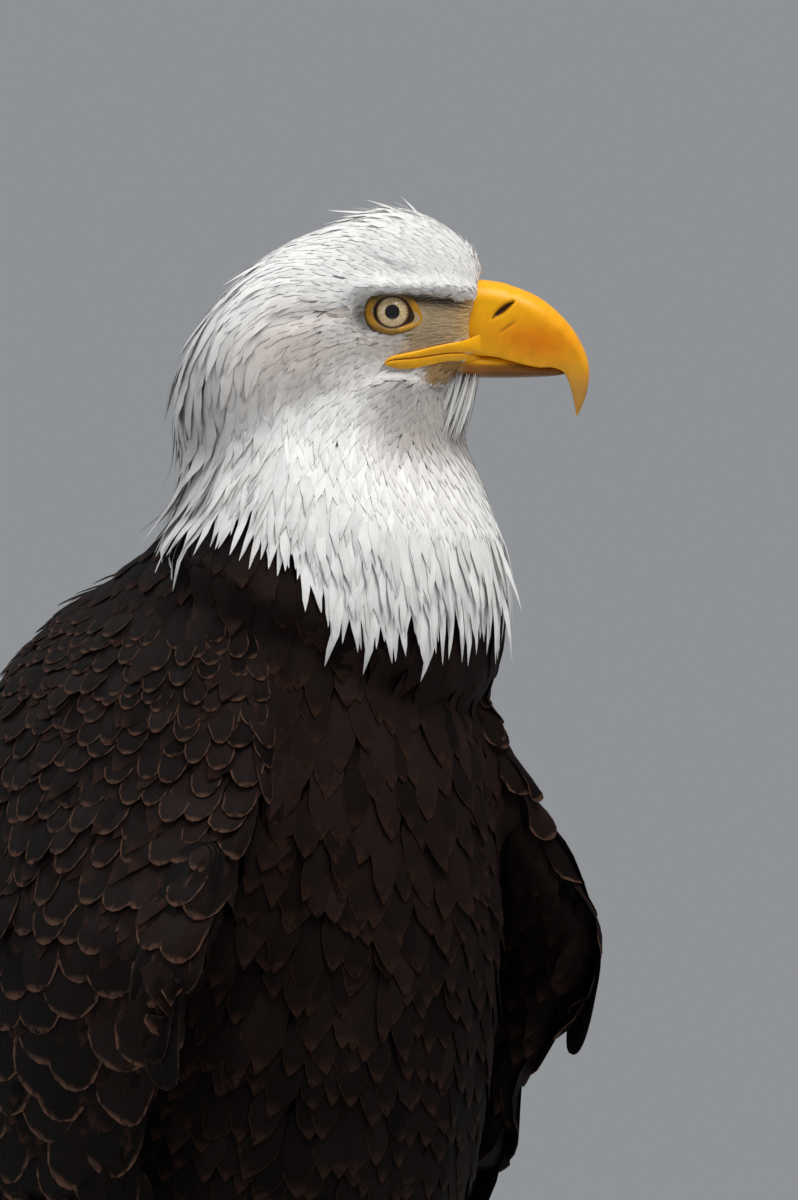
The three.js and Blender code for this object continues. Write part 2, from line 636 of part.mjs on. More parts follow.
function addLeg(name, sign) {
  const thighCutters = [trunkSolid(GAP), wingSolid(sign, WING_GAP), flightFeathers(sign, PRIMARIES, GAP)];
  addPart(`thigh_${name}`, without(thighSolid(sign, 0), thighCutters), DARK_FEATHER);
  addPart(`shank_${name}`, without(shankSolid(sign), [thighSolid(sign, GAP)]), FOOT_SKIN);
  addPart(`foot_${name}`, without(footSolid(sign, 0), [shankSolid(sign, GAP)]), FOOT_SKIN);
  for (const kind of TOES) {
    const horn = without(claw(sign, kind), [footSolid(sign, GAP)]);
    addPart(`claw_${kind.name}_${name}`, horn, CLAW_HORN);
  }
}

const wingCutters = both((sign) => wingSolid(sign, WING_GAP));
addPart("trunk", without(trunkSolid(0), [...wingCutters, neckSolid(GAP)]), DARK_FEATHER);
const face = joined([headSolid(GAP), upperBill(GAP), lowerBill(GAP), ...lips(-1, GAP)]);
addPart("neck", without(neckSolid(0), [inWorld(face), ...wingCutters]), WHITE_FEATHER);
addHead();
addBill();
addPart("tail", without(tailSolid(0), [trunkSolid(GAP)]), WHITE_FEATHER);
for (const [name, sign] of Object.entries(SIDES)) {
  addWing(name, sign);
  addLeg(name, sign);
}

const centre = new THREE.Box3().setFromObject(group).getCenter(new THREE.Vector3());
group.position.set(-centre.x, -centre.y, 0);

export default group;
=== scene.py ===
import math

import bmesh
import bpy
import numpy as np
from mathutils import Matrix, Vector
from mathutils.bvhtree import BVHTree
from mathutils.kdtree import KDTree


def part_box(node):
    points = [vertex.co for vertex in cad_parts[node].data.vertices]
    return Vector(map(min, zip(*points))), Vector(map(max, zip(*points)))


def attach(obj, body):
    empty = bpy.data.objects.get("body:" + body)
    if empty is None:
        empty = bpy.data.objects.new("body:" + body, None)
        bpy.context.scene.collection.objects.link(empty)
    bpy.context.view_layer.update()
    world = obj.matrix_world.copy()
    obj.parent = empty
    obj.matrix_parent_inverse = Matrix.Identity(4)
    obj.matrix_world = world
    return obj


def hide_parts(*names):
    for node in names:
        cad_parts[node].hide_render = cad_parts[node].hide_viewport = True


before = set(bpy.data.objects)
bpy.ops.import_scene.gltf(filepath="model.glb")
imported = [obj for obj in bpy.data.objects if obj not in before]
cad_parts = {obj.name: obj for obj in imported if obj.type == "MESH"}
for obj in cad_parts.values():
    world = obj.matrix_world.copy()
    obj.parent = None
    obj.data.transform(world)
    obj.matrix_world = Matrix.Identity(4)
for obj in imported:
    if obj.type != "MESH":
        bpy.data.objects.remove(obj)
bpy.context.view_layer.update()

# ---- floor, light and camera ----
# The bird stands on a plain pale round floor. One large soft lamp hangs high before its face, on
# the head's right, a weaker one stands behind the head on the same side, and one hangs high at
# its back. The camera looks level at head and breast from the front and the bird's right.
MM = 0.001
UP = Vector((0, 0, 1))


def middle(node):
    """The middle of a solid's box."""
    low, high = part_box(node)
    return (low + high) / 2


head_middle = (middle("eye_left") + middle("eye_right")) / 2
head_side = (middle("eye_left") - middle("eye_right")).normalized()
head_fore = head_side.cross(UP)


def emit(name, place, target, size, watts, color):
    lamp = bpy.data.lights.new(name, "AREA")
    lamp.shape = "DISK"
    lamp.size = size
    lamp.energy = watts
    lamp.color = color
    holder = bpy.data.objects.new(name, lamp)
    holder.location = place
    holder.rotation_euler = (Vector(target) - Vector(place)).to_track_quat("-Z", "Y").to_euler()
    bpy.context.scene.collection.objects.link(holder)


key_place = head_middle + head_fore * 0.8 - head_side * 1.05 + UP * 2.6
emit("key_light", key_place, head_middle, size=2.1, watts=99, color=(1.0, 0.985, 0.96))
fill_place = head_middle - head_fore * 2.2 - head_side * 1.5 + UP * 0.5
BREAST = (0, 0, 0.5)  # where the two weaker lamps point
emit("fill_light", fill_place, BREAST, size=1.8, watts=14, color=(0.92, 0.96, 1.0))
emit("back_light", (-0.4, 2.4, 2.2), BREAST, size=1.2, watts=22, color=(1.0, 0.98, 0.95))

sky = bpy.data.worlds.new("soft_sky")
sky.use_nodes = True
glow = sky.node_tree.nodes["Background"].inputs
glow["Color"].default_value = (0.55, 0.57, 0.6, 1)
glow["Strength"].default_value = 0.5
bpy.context.scene.world = sky
bpy.context.scene.view_settings.view_transform = "Standard"

CAMERA_LENS = 200
CAMERA_DISTANCE = 2.909
CAMERA_TILT = math.radians(1)
AIM_FORE = 0.0029  # the camera's aim, from the point between the eyes
AIM_DOWN = 0.1248
camera = bpy.data.cameras.new("camera")
camera.lens = CAMERA_LENS
aim = head_middle + head_fore * AIM_FORE - UP * AIM_DOWN
camera_back = -head_side * math.cos(CAMERA_TILT) + UP * math.sin(CAMERA_TILT)
viewer = bpy.data.objects.new("camera", camera)
viewer.location = aim + camera_back * CAMERA_DISTANCE
viewer.rotation_euler = (-camera_back).to_track_quat("-Z", "Y").to_euler()
bpy.context.scene.collection.objects.link(viewer)
bpy.context.scene.camera = viewer


def build(name, mesh):
    """Puts a mesh in the scene as a piece of its own."""
    piece = bpy.data.objects.new(name, mesh)
    bpy.context.scene.collection.objects.link(piece)
    return piece


def finish_with(piece, material):
    """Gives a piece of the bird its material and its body."""
    piece.data.materials.append(material)
    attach(piece, "root")


def new_material(name, roughness, **sockets):
    """A plain shader, with the sockets that are the same all over the surface."""
    material = bpy.data.materials.new(name)
    material.use_nodes = True
    shader = material.node_tree.nodes["Principled BSDF"]
    shader.inputs["Roughness"].default_value = roughness
    for socket, value in sockets.items():
        shader.inputs[socket.replace("_", " ")].default_value = value
    return material


def add(material, kind, *feeds, **fields):
    """Adds a node. A feed is a number, a colour or another node's output, in the inputs' order."""
    node = material.node_tree.nodes.new(kind)
    for field, value in fields.items():
        setattr(node, field, value)
    for socket, feed in zip(node.inputs, feeds):
        if isinstance(feed, bpy.types.NodeSocket):
            material.node_tree.links.new(feed, socket)
        elif feed is not None:
            socket.default_value = feed
    return node.outputs


def sums(material, operation, *feeds):
    return add(material, "ShaderNodeMath", *feeds, operation=operation)[0]


def blended(material, share, low, high, how="MIX"):
    """Two colours mixed by share."""
    node = material.node_tree.nodes.new("ShaderNodeMix")
    node.data_type = "RGBA"
    node.blend_type = how
    for place, feed in ((0, share), (6, low), (7, high)):
        if isinstance(feed, bpy.types.NodeSocket):
            material.node_tree.links.new(feed, node.inputs[place])
        else:
            node.inputs[place].default_value = feed
    return node.outputs[2]


def ramped(material, value, low, high):
    """0 below low and 1 above high, with a smooth rise between."""
    feeds = (value, low, high, 0, 1)
    return add(material, "ShaderNodeMapRange", *feeds, interpolation_type="SMOOTHSTEP")[0]


def to_shader(material, socket, output):
    shader = material.node_tree.nodes["Principled BSDF"]
    material.node_tree.links.new(output, shader.inputs[socket])


def raised(material, height, depth, strength=1.0):
    """Feeds a height pattern to the shader's normal, depth metres deep."""
    node = material.node_tree.nodes.new("ShaderNodeBump")
    node.inputs["Strength"].default_value = strength
    node.inputs["Distance"].default_value = depth
    material.node_tree.links.new(height, node.inputs["Height"])
    to_shader(material, "Normal", node.outputs[0])


def own_color(material):
    """The colour that each vertex of the piece keeps."""
    return add(material, "ShaderNodeAttribute", attribute_name="plumage")[0]


def grained(material, kind, *feeds, **fields):
    """A pattern fixed to the piece's own space. Its feeds are scale and detail."""
    place = add(material, "ShaderNodeTexCoord")["Object"]
    return add(material, f"ShaderNodeTex{kind}", place, None, *feeds, **fields)[0]


FLOOR_RADIUS = 1.5
FLOOR_GREYS = (0.6, 0.6, 0.6, 1), (0.66, 0.66, 0.65, 1)
slab = bmesh.new()
bmesh.ops.create_circle(slab, cap_ends=True, segments=128, radius=FLOOR_RADIUS)
floor_mesh = bpy.data.meshes.new("floor")
slab.to_mesh(floor_mesh)
floor = build("floor", floor_mesh)
plaster = new_material("floor_plaster", 0.85)
grain = add(plaster, "ShaderNodeTexNoise", None, None, 6.0, 4.0)[0]
to_shader(plaster, "Base Color", blended(plaster, grain, *FLOOR_GREYS))
floor_mesh.materials.append(plaster)

# ---- skin ----
# The bird's skin under its plumage, one closed surface over head, neck, trunk, wing arms and
# thighs. It is grown over the solids of the flesh, given its brow ridges and hollow lores, and
# drawn in by the depth of the feathers, so that these lie level with the solids.
FLESH = ["trunk", "neck", "head", "wing_left", "wing_right", "thigh_left", "thigh_right"]
HEAD_PLACE = (31, 65, 662)  # the head's origin in the trunk's frame: side, fore and up in mm
SKIN_CELL = 2.75 * MM
# The bird stands with the middle between its feet here.
stand = head_middle - Vector((HEAD_PLACE[0], -HEAD_PLACE[1], HEAD_PLACE[2])) * MM
head_axes = np.array([head_side, head_fore, UP])
trunk_axes = np.array([(1, 0, 0), (0, -1, 0), (0, 0, 1)], float)


def in_head(points):
    """Side, fore and up in mm from the point between the eyes, fore being the bill's way."""
    return (np.asarray(points) - np.array(head_middle)) @ head_axes.T / MM


def in_trunk(points):
    """Side, fore and up in mm from the ground between the feet, fore being the breast's way."""
    return (np.asarray(points) - np.array(stand)) @ trunk_axes.T / MM


def from_head(places):
    """The scene's places of points given in mm by side, fore and up in the head's frame."""
    return np.asarray(places, float) @ head_axes * MM + np.array(head_middle)


def from_trunk(places):
    return np.asarray(places) @ trunk_axes * MM + np.array(stand)


def rise(value, low, high):
    """0 at low and 1 at high, smooth between."""
    t = np.clip((value - low) / (high - low), 0, 1)
    return t * t * (3 - 2 * t)


def hump(value, centre, width):
    """1 at the centre, falling off softly to both sides."""
    return np.exp(-(((value - centre) / width) ** 2))


def grown_over(nodes, cell, rounds):
    """One closed, smoothed surface of small even cells over the solids of these nodes."""
    solid = bmesh.new()
    for node in nodes:
        solid.from_mesh(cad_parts[node].data)
    bmesh.ops.remove_doubles(solid, verts=solid.verts, dist=0.01 * MM)
    mesh = bpy.data.meshes.new("solid")
    solid.to_mesh(mesh)
    solid.free()
    piece = build("grown", mesh)
    grow = piece.modifiers.new("grow", "REMESH")
    grow.mode = "VOXEL"
    grow.voxel_size = cell
    view = bpy.context.evaluated_depsgraph_get()
    cells = bpy.data.meshes.new_from_object(piece.evaluated_get(view))
    bpy.data.objects.remove(piece)
    shape = bmesh.new()
    shape.from_mesh(cells)
    for _ in range(rounds):
        bmesh.ops.smooth_vert(
            shape, verts=shape.verts, factor=0.5,
            use_axis_x=True, use_axis_y=True, use_axis_z=True,
        )
    return shape


def measured(shape):
    """The places and normals of a shape's vertices, as two tables."""
    return np.array([v.co for v in shape.verts]), np.array([v.normal for v in shape.verts])


def move_to(shape, places):
    for vert, place in zip(shape.verts, places):
        vert.co = place


def brow_height(fore):
    """How far above the eyes' level the edge of the brow lies."""
    return 8.0 - 0.0024 * (fore - 5) ** 2


NECK_MIDDLE = (6, 32)  # the middle of the neck where its white feathers end: side and fore


def round_neck(points):
    """The angle of each point round the neck: 0 in front, more to the bird's left."""
    side, fore, _ = in_trunk(points).T
    return np.arctan2(side - NECK_MIDDLE[0], fore - NECK_MIDDLE[1])


def locks(points):
    """The soft ridges in which the neck's feathers hang together, in mm."""
    up = in_trunk(points)[:, 2]
    turn = round_neck(points)
    broad = np.sin(11 * turn + 1.6 * np.sin(0.04 * up))
    narrow = np.sin(19 * turn + 0.05 * up + 2 * np.sin(0.03 * up + 1))
    return 0.4 * (broad + 0.8 * narrow) * rise(up, 520, 570) * rise(-up, -650, -600)


# How full the feathers of the jaw are along it: fore and depth.
JAW = ((-48, 0), (-24, 3.0), (-12, 4.5), (0, 6.3), (12, 5.5), (22, 3.5), (30, 0))


def standing_out(points):
    """How far the brow ridge, the jaw and the neck's locks stand out, less the folds, in mm."""
    side, fore, up = in_head(points).T
    stretch = rise(fore, -24, -6) * rise(-fore, -40, -28) * rise(abs(side), 6, 15)
    ridge = 4.2 * stretch * hump(up, brow_height(fore) + 3.4, 3.6)
    over_brow = 1.5 * hump(up, 18.7 - 0.6 * fore, 3.0) * hump(fore, 0, 14)
    behind_eye = 1.8 * hump(up, 1 + 0.12 * (fore + 12), 3.4) * rise(-fore, 12, 22) * rise(fore, -75, -45)
    under_cheek = 0.9 * hump(up, -29 + 0.35 * (fore + 10), 3.0) * hump(fore, -6, 22)
    folds = over_brow + behind_eye + under_cheek
    jaw = np.interp(fore, *zip(*JAW)) * hump(up, -31, 8)
    return ridge - folds * rise(abs(side), 5, 14) + jaw + locks(points)


EYE_SIDE = abs(in_head([middle("eye_left")])[0][0])
# How far out of the eye's middle the skin may stand: distance round the eye and level.
SOCKET = ((0, 9.4), (9, 9.3), (12, 8.6), (15, 9.6), (19, 14.0))


def in_socket(points):
    """How far the skin round each eye is drawn in to its lids, below the brow, in mm."""
    side, fore, up = in_head(points).T
    radius = np.sqrt(fore**2 + (up / 0.86) ** 2)
    level = EYE_SIDE + np.interp(radius, *zip(*SOCKET))
    under_brow = rise(-(up - brow_height(fore)), -1.5, 1.5)
    return np.maximum(abs(side) - level, 0) * under_brow * rise(-radius, -19, -16) * np.sign(side)


def face_distance(points):
    """Distance in mm from the middle of the lores, where the feathers are smallest."""
    side, fore, up = in_head(points).T
    return np.sqrt((fore - 24) ** 2 + (up + 4) ** 2 + 0.5 * (abs(side) - 18) ** 2)


def plumage_depth(points):
    """The depth of the feathers in mm: next to none on the face, and most on the trunk."""
    away = face_distance(points)
    return 0.5 + 1.7 * rise(away, 22, 110) + 2.8 * rise(away, 150, 230)


# Only the largest closed surface stays, without the small ones that are left inside it.
coat_shape = grown_over(FLESH, SKIN_CELL, 6)
islands = []
unseen = set(coat_shape.verts)
while unseen:
    patch = [unseen.pop()]
    for vert in patch:
        for edge in vert.link_edges:
            other = edge.other_vert(vert)
            if other in unseen:
                unseen.remove(other)
                patch.append(other)
    islands.append(patch)
islands.sort(key=len)
bmesh.ops.delete(coat_shape, geom=[v for patch in islands[:-1] for v in patch], context="VERTS")
# The bastard wings are quills of their own, so the skin is closed flat at the wings' wrists.
WRIST = ((328, 62), (352, 79), (374, 96))  # level and fore of the wing's front edge at its wrist
WRIST_SIDE = 98  # the wrists lie further out than this
WRIST_ROOM = 4  # what stands out further than this before them belongs to the bastard wings
before_wrist = []
for vert in coat_shape.verts:
    side, fore, up = in_trunk([vert.co])[0]
    edge_fore = np.interp(up, *zip(*WRIST))
    if abs(side) > WRIST_SIDE and WRIST[0][0] < up < WRIST[-1][0] and fore > edge_fore + WRIST_ROOM:
        before_wrist.append(vert)
bmesh.ops.delete(coat_shape, geom=before_wrist, context="VERTS")
bmesh.ops.holes_fill(coat_shape, edges=[e for e in coat_shape.edges if e.is_boundary], sides=0)
FACE_FORE = (-26, 50)  # the stretch of the head that gets finer cells
FACE_UP = (-34, 34)
near_face = []
for edge in coat_shape.edges:
    side, fore, up = in_head([edge.verts[0].co])[0]
    if FACE_FORE[0] < fore < FACE_FORE[1] and FACE_UP[0] < up < FACE_UP[1]:
        near_face.append(edge)
bmesh.ops.subdivide_edges(coat_shape, edges=near_face, cuts=1, use_grid_fill=True)
bmesh.ops.triangulate(coat_shape, faces=coat_shape.faces)
bmesh.ops.recalc_face_normals(coat_shape, faces=coat_shape.faces)
coat_shape.normal_update()
coat_shape.verts.index_update()
places, normals = measured(coat_shape)
places = places + normals * (standing_out(places) * MM)[:, None]
places = places - head_axes[0] * (in_socket(places) * MM)[:, None]
move_to(coat_shape, places)
coat_shape.normal_update()
coat_places, vertex_normals = measured(coat_shape)
coat_corners = np.array([[v.index for v in f.verts] for f in coat_shape.faces])
coat_normals = vertex_normals[coat_corners].mean(axis=1)
coat_normals /= np.linalg.norm(coat_normals, axis=1, keepdims=True)
coat_tree = BVHTree.FromPolygons(coat_places.tolist(), coat_corners.tolist(), all_triangles=True)

WHITE = np.array([0.83, 0.82, 0.805])
CHEEK_SHADE = np.array([0.54, 0.43, 0.36])
LORES = np.array([0.60, 0.44, 0.26])
YELLOW_LORE = np.array([0.94, 0.58, 0.19])
CHIN_SKIN = np.array([0.42, 0.25, 0.10])
BROWN_BLACK = np.array([0.0085, 0.0057, 0.0052])
SADDLE_BROWN = np.array([0.0185, 0.0098, 0.0080])
HEM_LOW = 517  # the level of the white feathers' lowest tips, on the breast
HEM_FACING = -4  # degrees from straight ahead to the hem's lowest part, more to the left


def above_hem(points):
    """How far, in mm, a point lies above the hem, where the tips of the white feathers end. They
    hang in a bib on the breast, a little further round its left, and end higher on the nape."""
    turn = np.degrees(round_neck(points)) - HEM_FACING
    turn = (turn + 180) % 360 - 180
    away = np.abs(turn) - 16 * rise(turn, 0, 40) * rise(-turn, -150, -80)
    level = HEM_LOW + 26 * rise(away, 14, 40) + 16 * rise(away, 36, 60) + 26 * rise(away, 98, 140)
    return in_trunk(points)[:, 2] - level


def lore_share(points):
    """How far each point belongs to the bare, bristly lores between eye and bill."""
    side, fore, up = in_head(points).T
    soft = 1.4 * np.sin(1.1 * fore + 0.7 * up) + 1.1 * np.sin(0.9 * up - 0.6 * fore + 2)
    high = rise(-(up - brow_height(fore) + 0.8 * soft), -2.5, 1.5)
    low = rise(up + 16 - 0.16 * (fore - 20) + soft, -5, 4)
    return rise(fore + 0.5 * soft, 4, 10) * high * low * rise(abs(side), 4, 9)


def toned(color, other, share):
    """A colour, or one for each point, drawn to another by a share for each point."""
    return color + (other - color) * share[:, None]


# Soft marks of painted shade on the head, on the cheeks and in the crease behind the eye, in the
# folds over the brow and in the eye's rear corner: strength, the fore of the middle, half length,
# level at the eye's fore, slope and half width.
CHEEK_SHADE_MARKS = ((0.62, -36, 30, -12, 0, 15), (0.5, 6, 17, -14, 0, 6), (0.7, -18, 8, -0.7, -0.1, 2.2))
# Painted shade in the soft folds of the feathers over the brow and behind the eye.
BROW_FOLD_SHADE = (
    (0.2, -1, 12, 18.2, -0.6, 1.8), (0.2, 4, 14, 23.1, -0.385, 1.5), (0.14, -34, 14, 8.4, -0.12, 1.6),
)
# Painted shade in the eye's rear corner.
EYE_CORNER_SHADE = ((0.5, -15.5, 3.5, 0.6, 0, 1.7),)
THROAT_SHADE_TINT = np.array([0.93, 1.0, 1.04])


def marked(marks, fore, up):
    """How strongly these marks together cover each place."""
    shares = []
    for strength, centre, long, level, slope, wide in marks:
        shares.append(strength * hump(fore, centre, long) * hump(up, level + slope * fore, wide))
    return sum(shares)


def head_color(points):
    """White, with tan lores and a bristly brown chin, and painted shade on the cheeks, in the folds,
    under the brow and the lids, below the jaw, on the nape and over the crown.
    """
    side, fore, up = in_head(points).T
    # Painted shade: the cheeks and the crease behind the eye are drawn to a grey-brown.
    white = toned(WHITE, CHEEK_SHADE, np.clip(marked(CHEEK_SHADE_MARKS, fore, up), 0, 1))
    bare_lore = toned(LORES, YELLOW_LORE, 0.7 * rise(fore, 22, 37))
    white = toned(white, bare_lore, lore_share(points))
    bristly = rise(fore, 13, 20) * rise(-up, 19.5, 21.5) * rise(up, -29, -27)
    white = toned(white, CHIN_SKIN, bristly)
    under_brow = hump(up, brow_height(fore) - 2.4, 2.9) * rise(abs(side), 12, 18)
    under_brow = under_brow * rise(fore, -12, -4) * rise(-fore, -37, -28)
    shadow = 0.92 * np.maximum(under_brow, marked(EYE_CORNER_SHADE, fore, up))
    # Painted shade in a ring below and behind the eye, round its lids.
    under_lid_shade = 0.45 * hump(np.hypot(fore / 1.15, up / 0.95), 12, 1.8)
    under_lid_shade = under_lid_shade * rise(-up, -4, 2) * rise(-fore, -14, -6)
    # Painted shade on the nape, and a lighter painted shade over the crown's top.
    nape = 0.4 * rise(-fore, 48, 85) * hump(up, -35, 45) + 0.06 * rise(up, 20, 32)
    light = (1 - nape - marked(BROW_FOLD_SHADE, fore, up)) * (1 - shadow) * (1 - under_lid_shade)
    # Painted shade on the neck below the jaw, under the bill.
    throat_shade = 0.52 * rise(-up, 22, 32) * rise(up, -64, -48) * rise(fore, -16, 10)
    return white * light[:, None] * (1 - throat_shade[:, None] * THROAT_SHADE_TINT)


def plumage_color(points, white_from=30):
    """The colour of the plumage at each point: white from this height in mm above the hem, and
    dark brown below, warmer on the breast, and darker towards the bottom, partly as painted shade
    and partly as the belly's darker feathers."""
    _, fore, up = in_trunk(points).T
    dark = toned(BROWN_BLACK, SADDLE_BROWN, 0.5 * rise(fore, 20, 100) * rise(up, 250, 420))
    # Darker towards the bottom: partly painted shade, partly the belly's darker feathers.
    dark = dark * (1 - 0.45 * rise(-up, -500, -330))[:, None]
    return toned(dark, head_color(points), rise(above_hem(points), white_from, white_from + 3))


def paint(mesh, colors):
    """Keeps one colour for each vertex in the mesh's own attribute."""
    layer = mesh.attributes.new("plumage", "FLOAT_COLOR", "POINT")
    full = np.ones((len(mesh.vertices), 4), np.float32)
    full[:, :3] = colors
    layer.data.foreach_set("color", full.ravel())


def smooth_piece(name, shape, material, colors=None):
    """Makes a worked shape a smooth piece of the bird, with a colour for each vertex if given."""
    mesh = bpy.data.meshes.new(name)
    shape.to_mesh(mesh)
    mesh.shade_smooth()
    if colors is not None:
        paint(mesh, colors)
    piece = build(name, mesh)
    finish_with(piece, material)
    return piece


down = new_material("skin_under_down", 0.85, Specular_IOR_Level=0.04, Sheen_Weight=0.03)
fluff = grained(down, "Noise", 1800.0, 5.0)
to_shader(down, "Base Color", blended(down, 0.3, own_color(down), fluff, "MULTIPLY"))
raised(down, fluff, 0.0006)
move_to(coat_shape, coat_places - vertex_normals * (plumage_depth(coat_places) * MM)[:, None])
under_color = plumage_color(coat_places, 40) * 0.95
skin = smooth_piece("skin", coat_shape, down, under_color)
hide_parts(*FLESH)

# ---- feathers of the head, neck, trunk and thighs ----
# Every feather is one thin closed vane of its own. Its root is sunk under the coat's face, it
# follows the curve of the body the way the plumage lies, and its tip lies over the next roots.
# They are smallest on the face, long and pointed on the neck and breast, and blunt on the back.
rng = np.random.default_rng(7)


def settle(points):
    """The nearest places of the coat's surface to these points, and its normals there."""
    spots = np.empty((len(points), 3))
    faces = np.empty(len(points), int)
    for i, point in enumerate(points):
        spots[i], _, faces[i], _ = coat_tree.find_nearest(point)
    return spots, coat_normals[faces]


def unit(vectors):
    return vectors / np.maximum(np.linalg.norm(vectors, axis=-1, keepdims=True), 1e-12)


def along_surface(ways, normals):
    """These ways, turned to run along the surface."""
    return unit(ways - normals * (ways * normals).sum(-1, keepdims=True))


def lie(points):
    """The way the plumage lies: back over the skull, down the neck, down and back below."""
    _, fore, up = in_head(points).T
    steep = -0.55 * fore - 1.15 * up + 25 * rise(-fore, 40, 80)
    steep = steep + 42 * rise(fore, -4, 26) * rise(-up, 20, 34)
    steep = np.radians(np.clip(steep, -8, 87))
    head = -np.cos(steep)[:, None] * head_axes[1] - np.sin(steep)[:, None] * head_axes[2]
    low = in_trunk(points)
    trunk = np.array([(0, -0.39, -0.92)]) @ trunk_axes
    share = rise(-low[:, 2], -545, -470)[:, None]
    return unit(head * (1 - share) + trunk * share)


TRIES = 7  # roots tried for each that is wanted


def spread_roots(room, seed):
    """Roots over the whole coat. Each has its own room in mm to the next one at its side, and
    more room along the lie, so that the feathers show long and narrow."""
    pick = np.random.default_rng(seed)
    a, b, c = (coat_places[coat_corners[:, k]] for k in range(3))
    area = np.linalg.norm(np.cross(b - a, c - a), axis=1) / 2 / MM**2
    gap, stretch = room((a + b + c) / 3)
    wanted = area / (gap**2 * stretch)
    count = int(wanted.sum() * TRIES)
    faces = pick.choice(len(wanted), count, p=wanted / wanted.sum())
    s, t = pick.random((2, count, 1))
    fold = s + t > 1
    s, t = np.where(fold, 1 - s, s), np.where(fold, 1 - t, t)
    points = a[faces] + s * (b - a)[faces] + t * (c - a)[faces]
    gap, stretch = room(points)
    flow = along_surface(lie(points), coat_normals[faces])
    tree = KDTree(count)
    for i, point in enumerate(points):
        tree.insert(point, i)
    tree.balance()
    free = np.ones(count, bool)
    kept = []
    for i in range(count):
        if free[i]:
            kept.append(i)
            found = tree.find_range(points[i], gap[i] * stretch[i] * MM)
            near = np.array([other for _, other, _ in found])
            apart = points[near] - points[i]
            ahead = apart @ flow[i]
            beside = (apart**2).sum(axis=1) - ahead**2
            free[near[beside + (ahead / stretch[i]) ** 2 < (gap[i] * MM) ** 2]] = False
    return points[kept], coat_normals[faces[kept]]


def vane(rows, places, peak, tip_power, tip_round, crowd=1.4):
    """A closed vane's pattern: for each vertex its place across and along, its row and whether
    it lies on the under side, and the faces that join them. It is widest at peak, and its rows
    crowd to the tip."""
    columns = len(places)
    across, along, row_of, under = [0.0], [0.0], [0], [0]
    for row in range(rows):
        share = 1 - (1 - (row + 0.6) / (rows + 0.35)) ** crowd
        for place in places:
            across.append(place)
            along.append(share)
            row_of.append(row + 1)
            under.append(0)
        across.append(0.0)
        along.append(share)
        row_of.append(row + 1)
        under.append(1)
    across.append(0.0)
    along.append(1.0)
    row_of.append(rows + 1)
    under.append(0)
    step = columns + 1
    last = len(along) - 1
    faces = []
    for row in range(rows + 1):
        low = 1 + (row - 1) * step
        high = low + step
        top_low = [0] * columns if row == 0 else list(range(low, low + columns))
        top_high = [last] * columns if row == rows else list(range(high, high + columns))
        mid_low = 0 if row == 0 else low + columns
        mid_high = last if row == rows else high + columns
        for k in range(columns - 1):
            faces.append([top_low[k], top_low[k + 1], top_high[k + 1], top_high[k]])
        faces.append([top_low[0], top_high[0], mid_high, mid_low])
        faces.append([mid_low, mid_high, top_high[-1], top_low[-1]])
    faces = [list(dict.fromkeys(face)) for face in faces]
    v = np.array(along)
    growth = np.clip(v / peak, 0, 1) ** 0.6
    fall = 1 - np.clip((v - peak) / (1 - peak), 0, 1) ** tip_power
    return {
        "across": np.array(across), "along": v, "row": np.array(row_of), "under": np.array(under),
        "width": growth * fall**tip_round, "rows": rows, "faces": faces,
    }


STATIONS = 5  # points along each feather's spine


def cut(pattern, lift, ragged, twist, thick, crown):
    """How a kind of feather is cut: its vane, the lift of its tips in mm, how ragged and how far
    twisted aside it is, its thickness in mm and its doming, as a share of the width."""
    return {
        "vane": pattern, "lift": lift, "ragged": ragged, "twist": twist, "thick": thick, "crown": crown,
    }


def vanes_along(spine, facing, widths, style, bow=0.0, depth=0.0):
    """The vertices of one feather along each spine. facing points out of its upper side, bow
    bends its edges to the body, and depth is how deep its root lies, in metres."""
    half = widths[:, None] * MM / 2
    ahead = np.gradient(spine, axis=1)
    ahead += 1e-5 * facing[:, :, [1, 2, 0]]
    sideways = unit(np.cross(ahead, facing))
    reach = sideways * half[:, :, None]
    pattern = style["vane"]
    v = pattern["along"]
    spot = v * (STATIONS - 1)
    base = np.clip(spot.astype(int), 0, STATIONS - 2)
    part = (spot - base)[None, :, None]

    def between(net):
        return net[:, base] * (1 - part) + net[:, base + 1] * part

    notch = 1 + style["ragged"] * rng.normal(size=(len(spine), pattern["rows"] + 2, 2))
    side_of = (pattern["across"] > 0).astype(int)
    trim = np.clip(notch[:, pattern["row"], side_of], 0.35, 1.3)
    u = pattern["across"] * pattern["width"] * trim
    lift = style["lift"] * MM * (1 + 0.4 * np.clip(rng.normal(size=len(spine)), -1.2, 1.2))
    height = lift[:, None] * v**1.5 - np.atleast_1d(depth)[:, None] * (1 - v) ** 1.3
    dome = style["crown"] * widths[:, None] * MM * (1 - pattern["across"] ** 2)
    height += dome * pattern["width"]
    height -= pattern["under"] * style["thick"] * MM * pattern["width"]
    u = u[:, :, None]
    bowed = between(bow) * u**2 if np.ndim(bow) else 0.0
    return between(spine) + between(reach) * u + bowed + between(facing) * height[:, :, None]


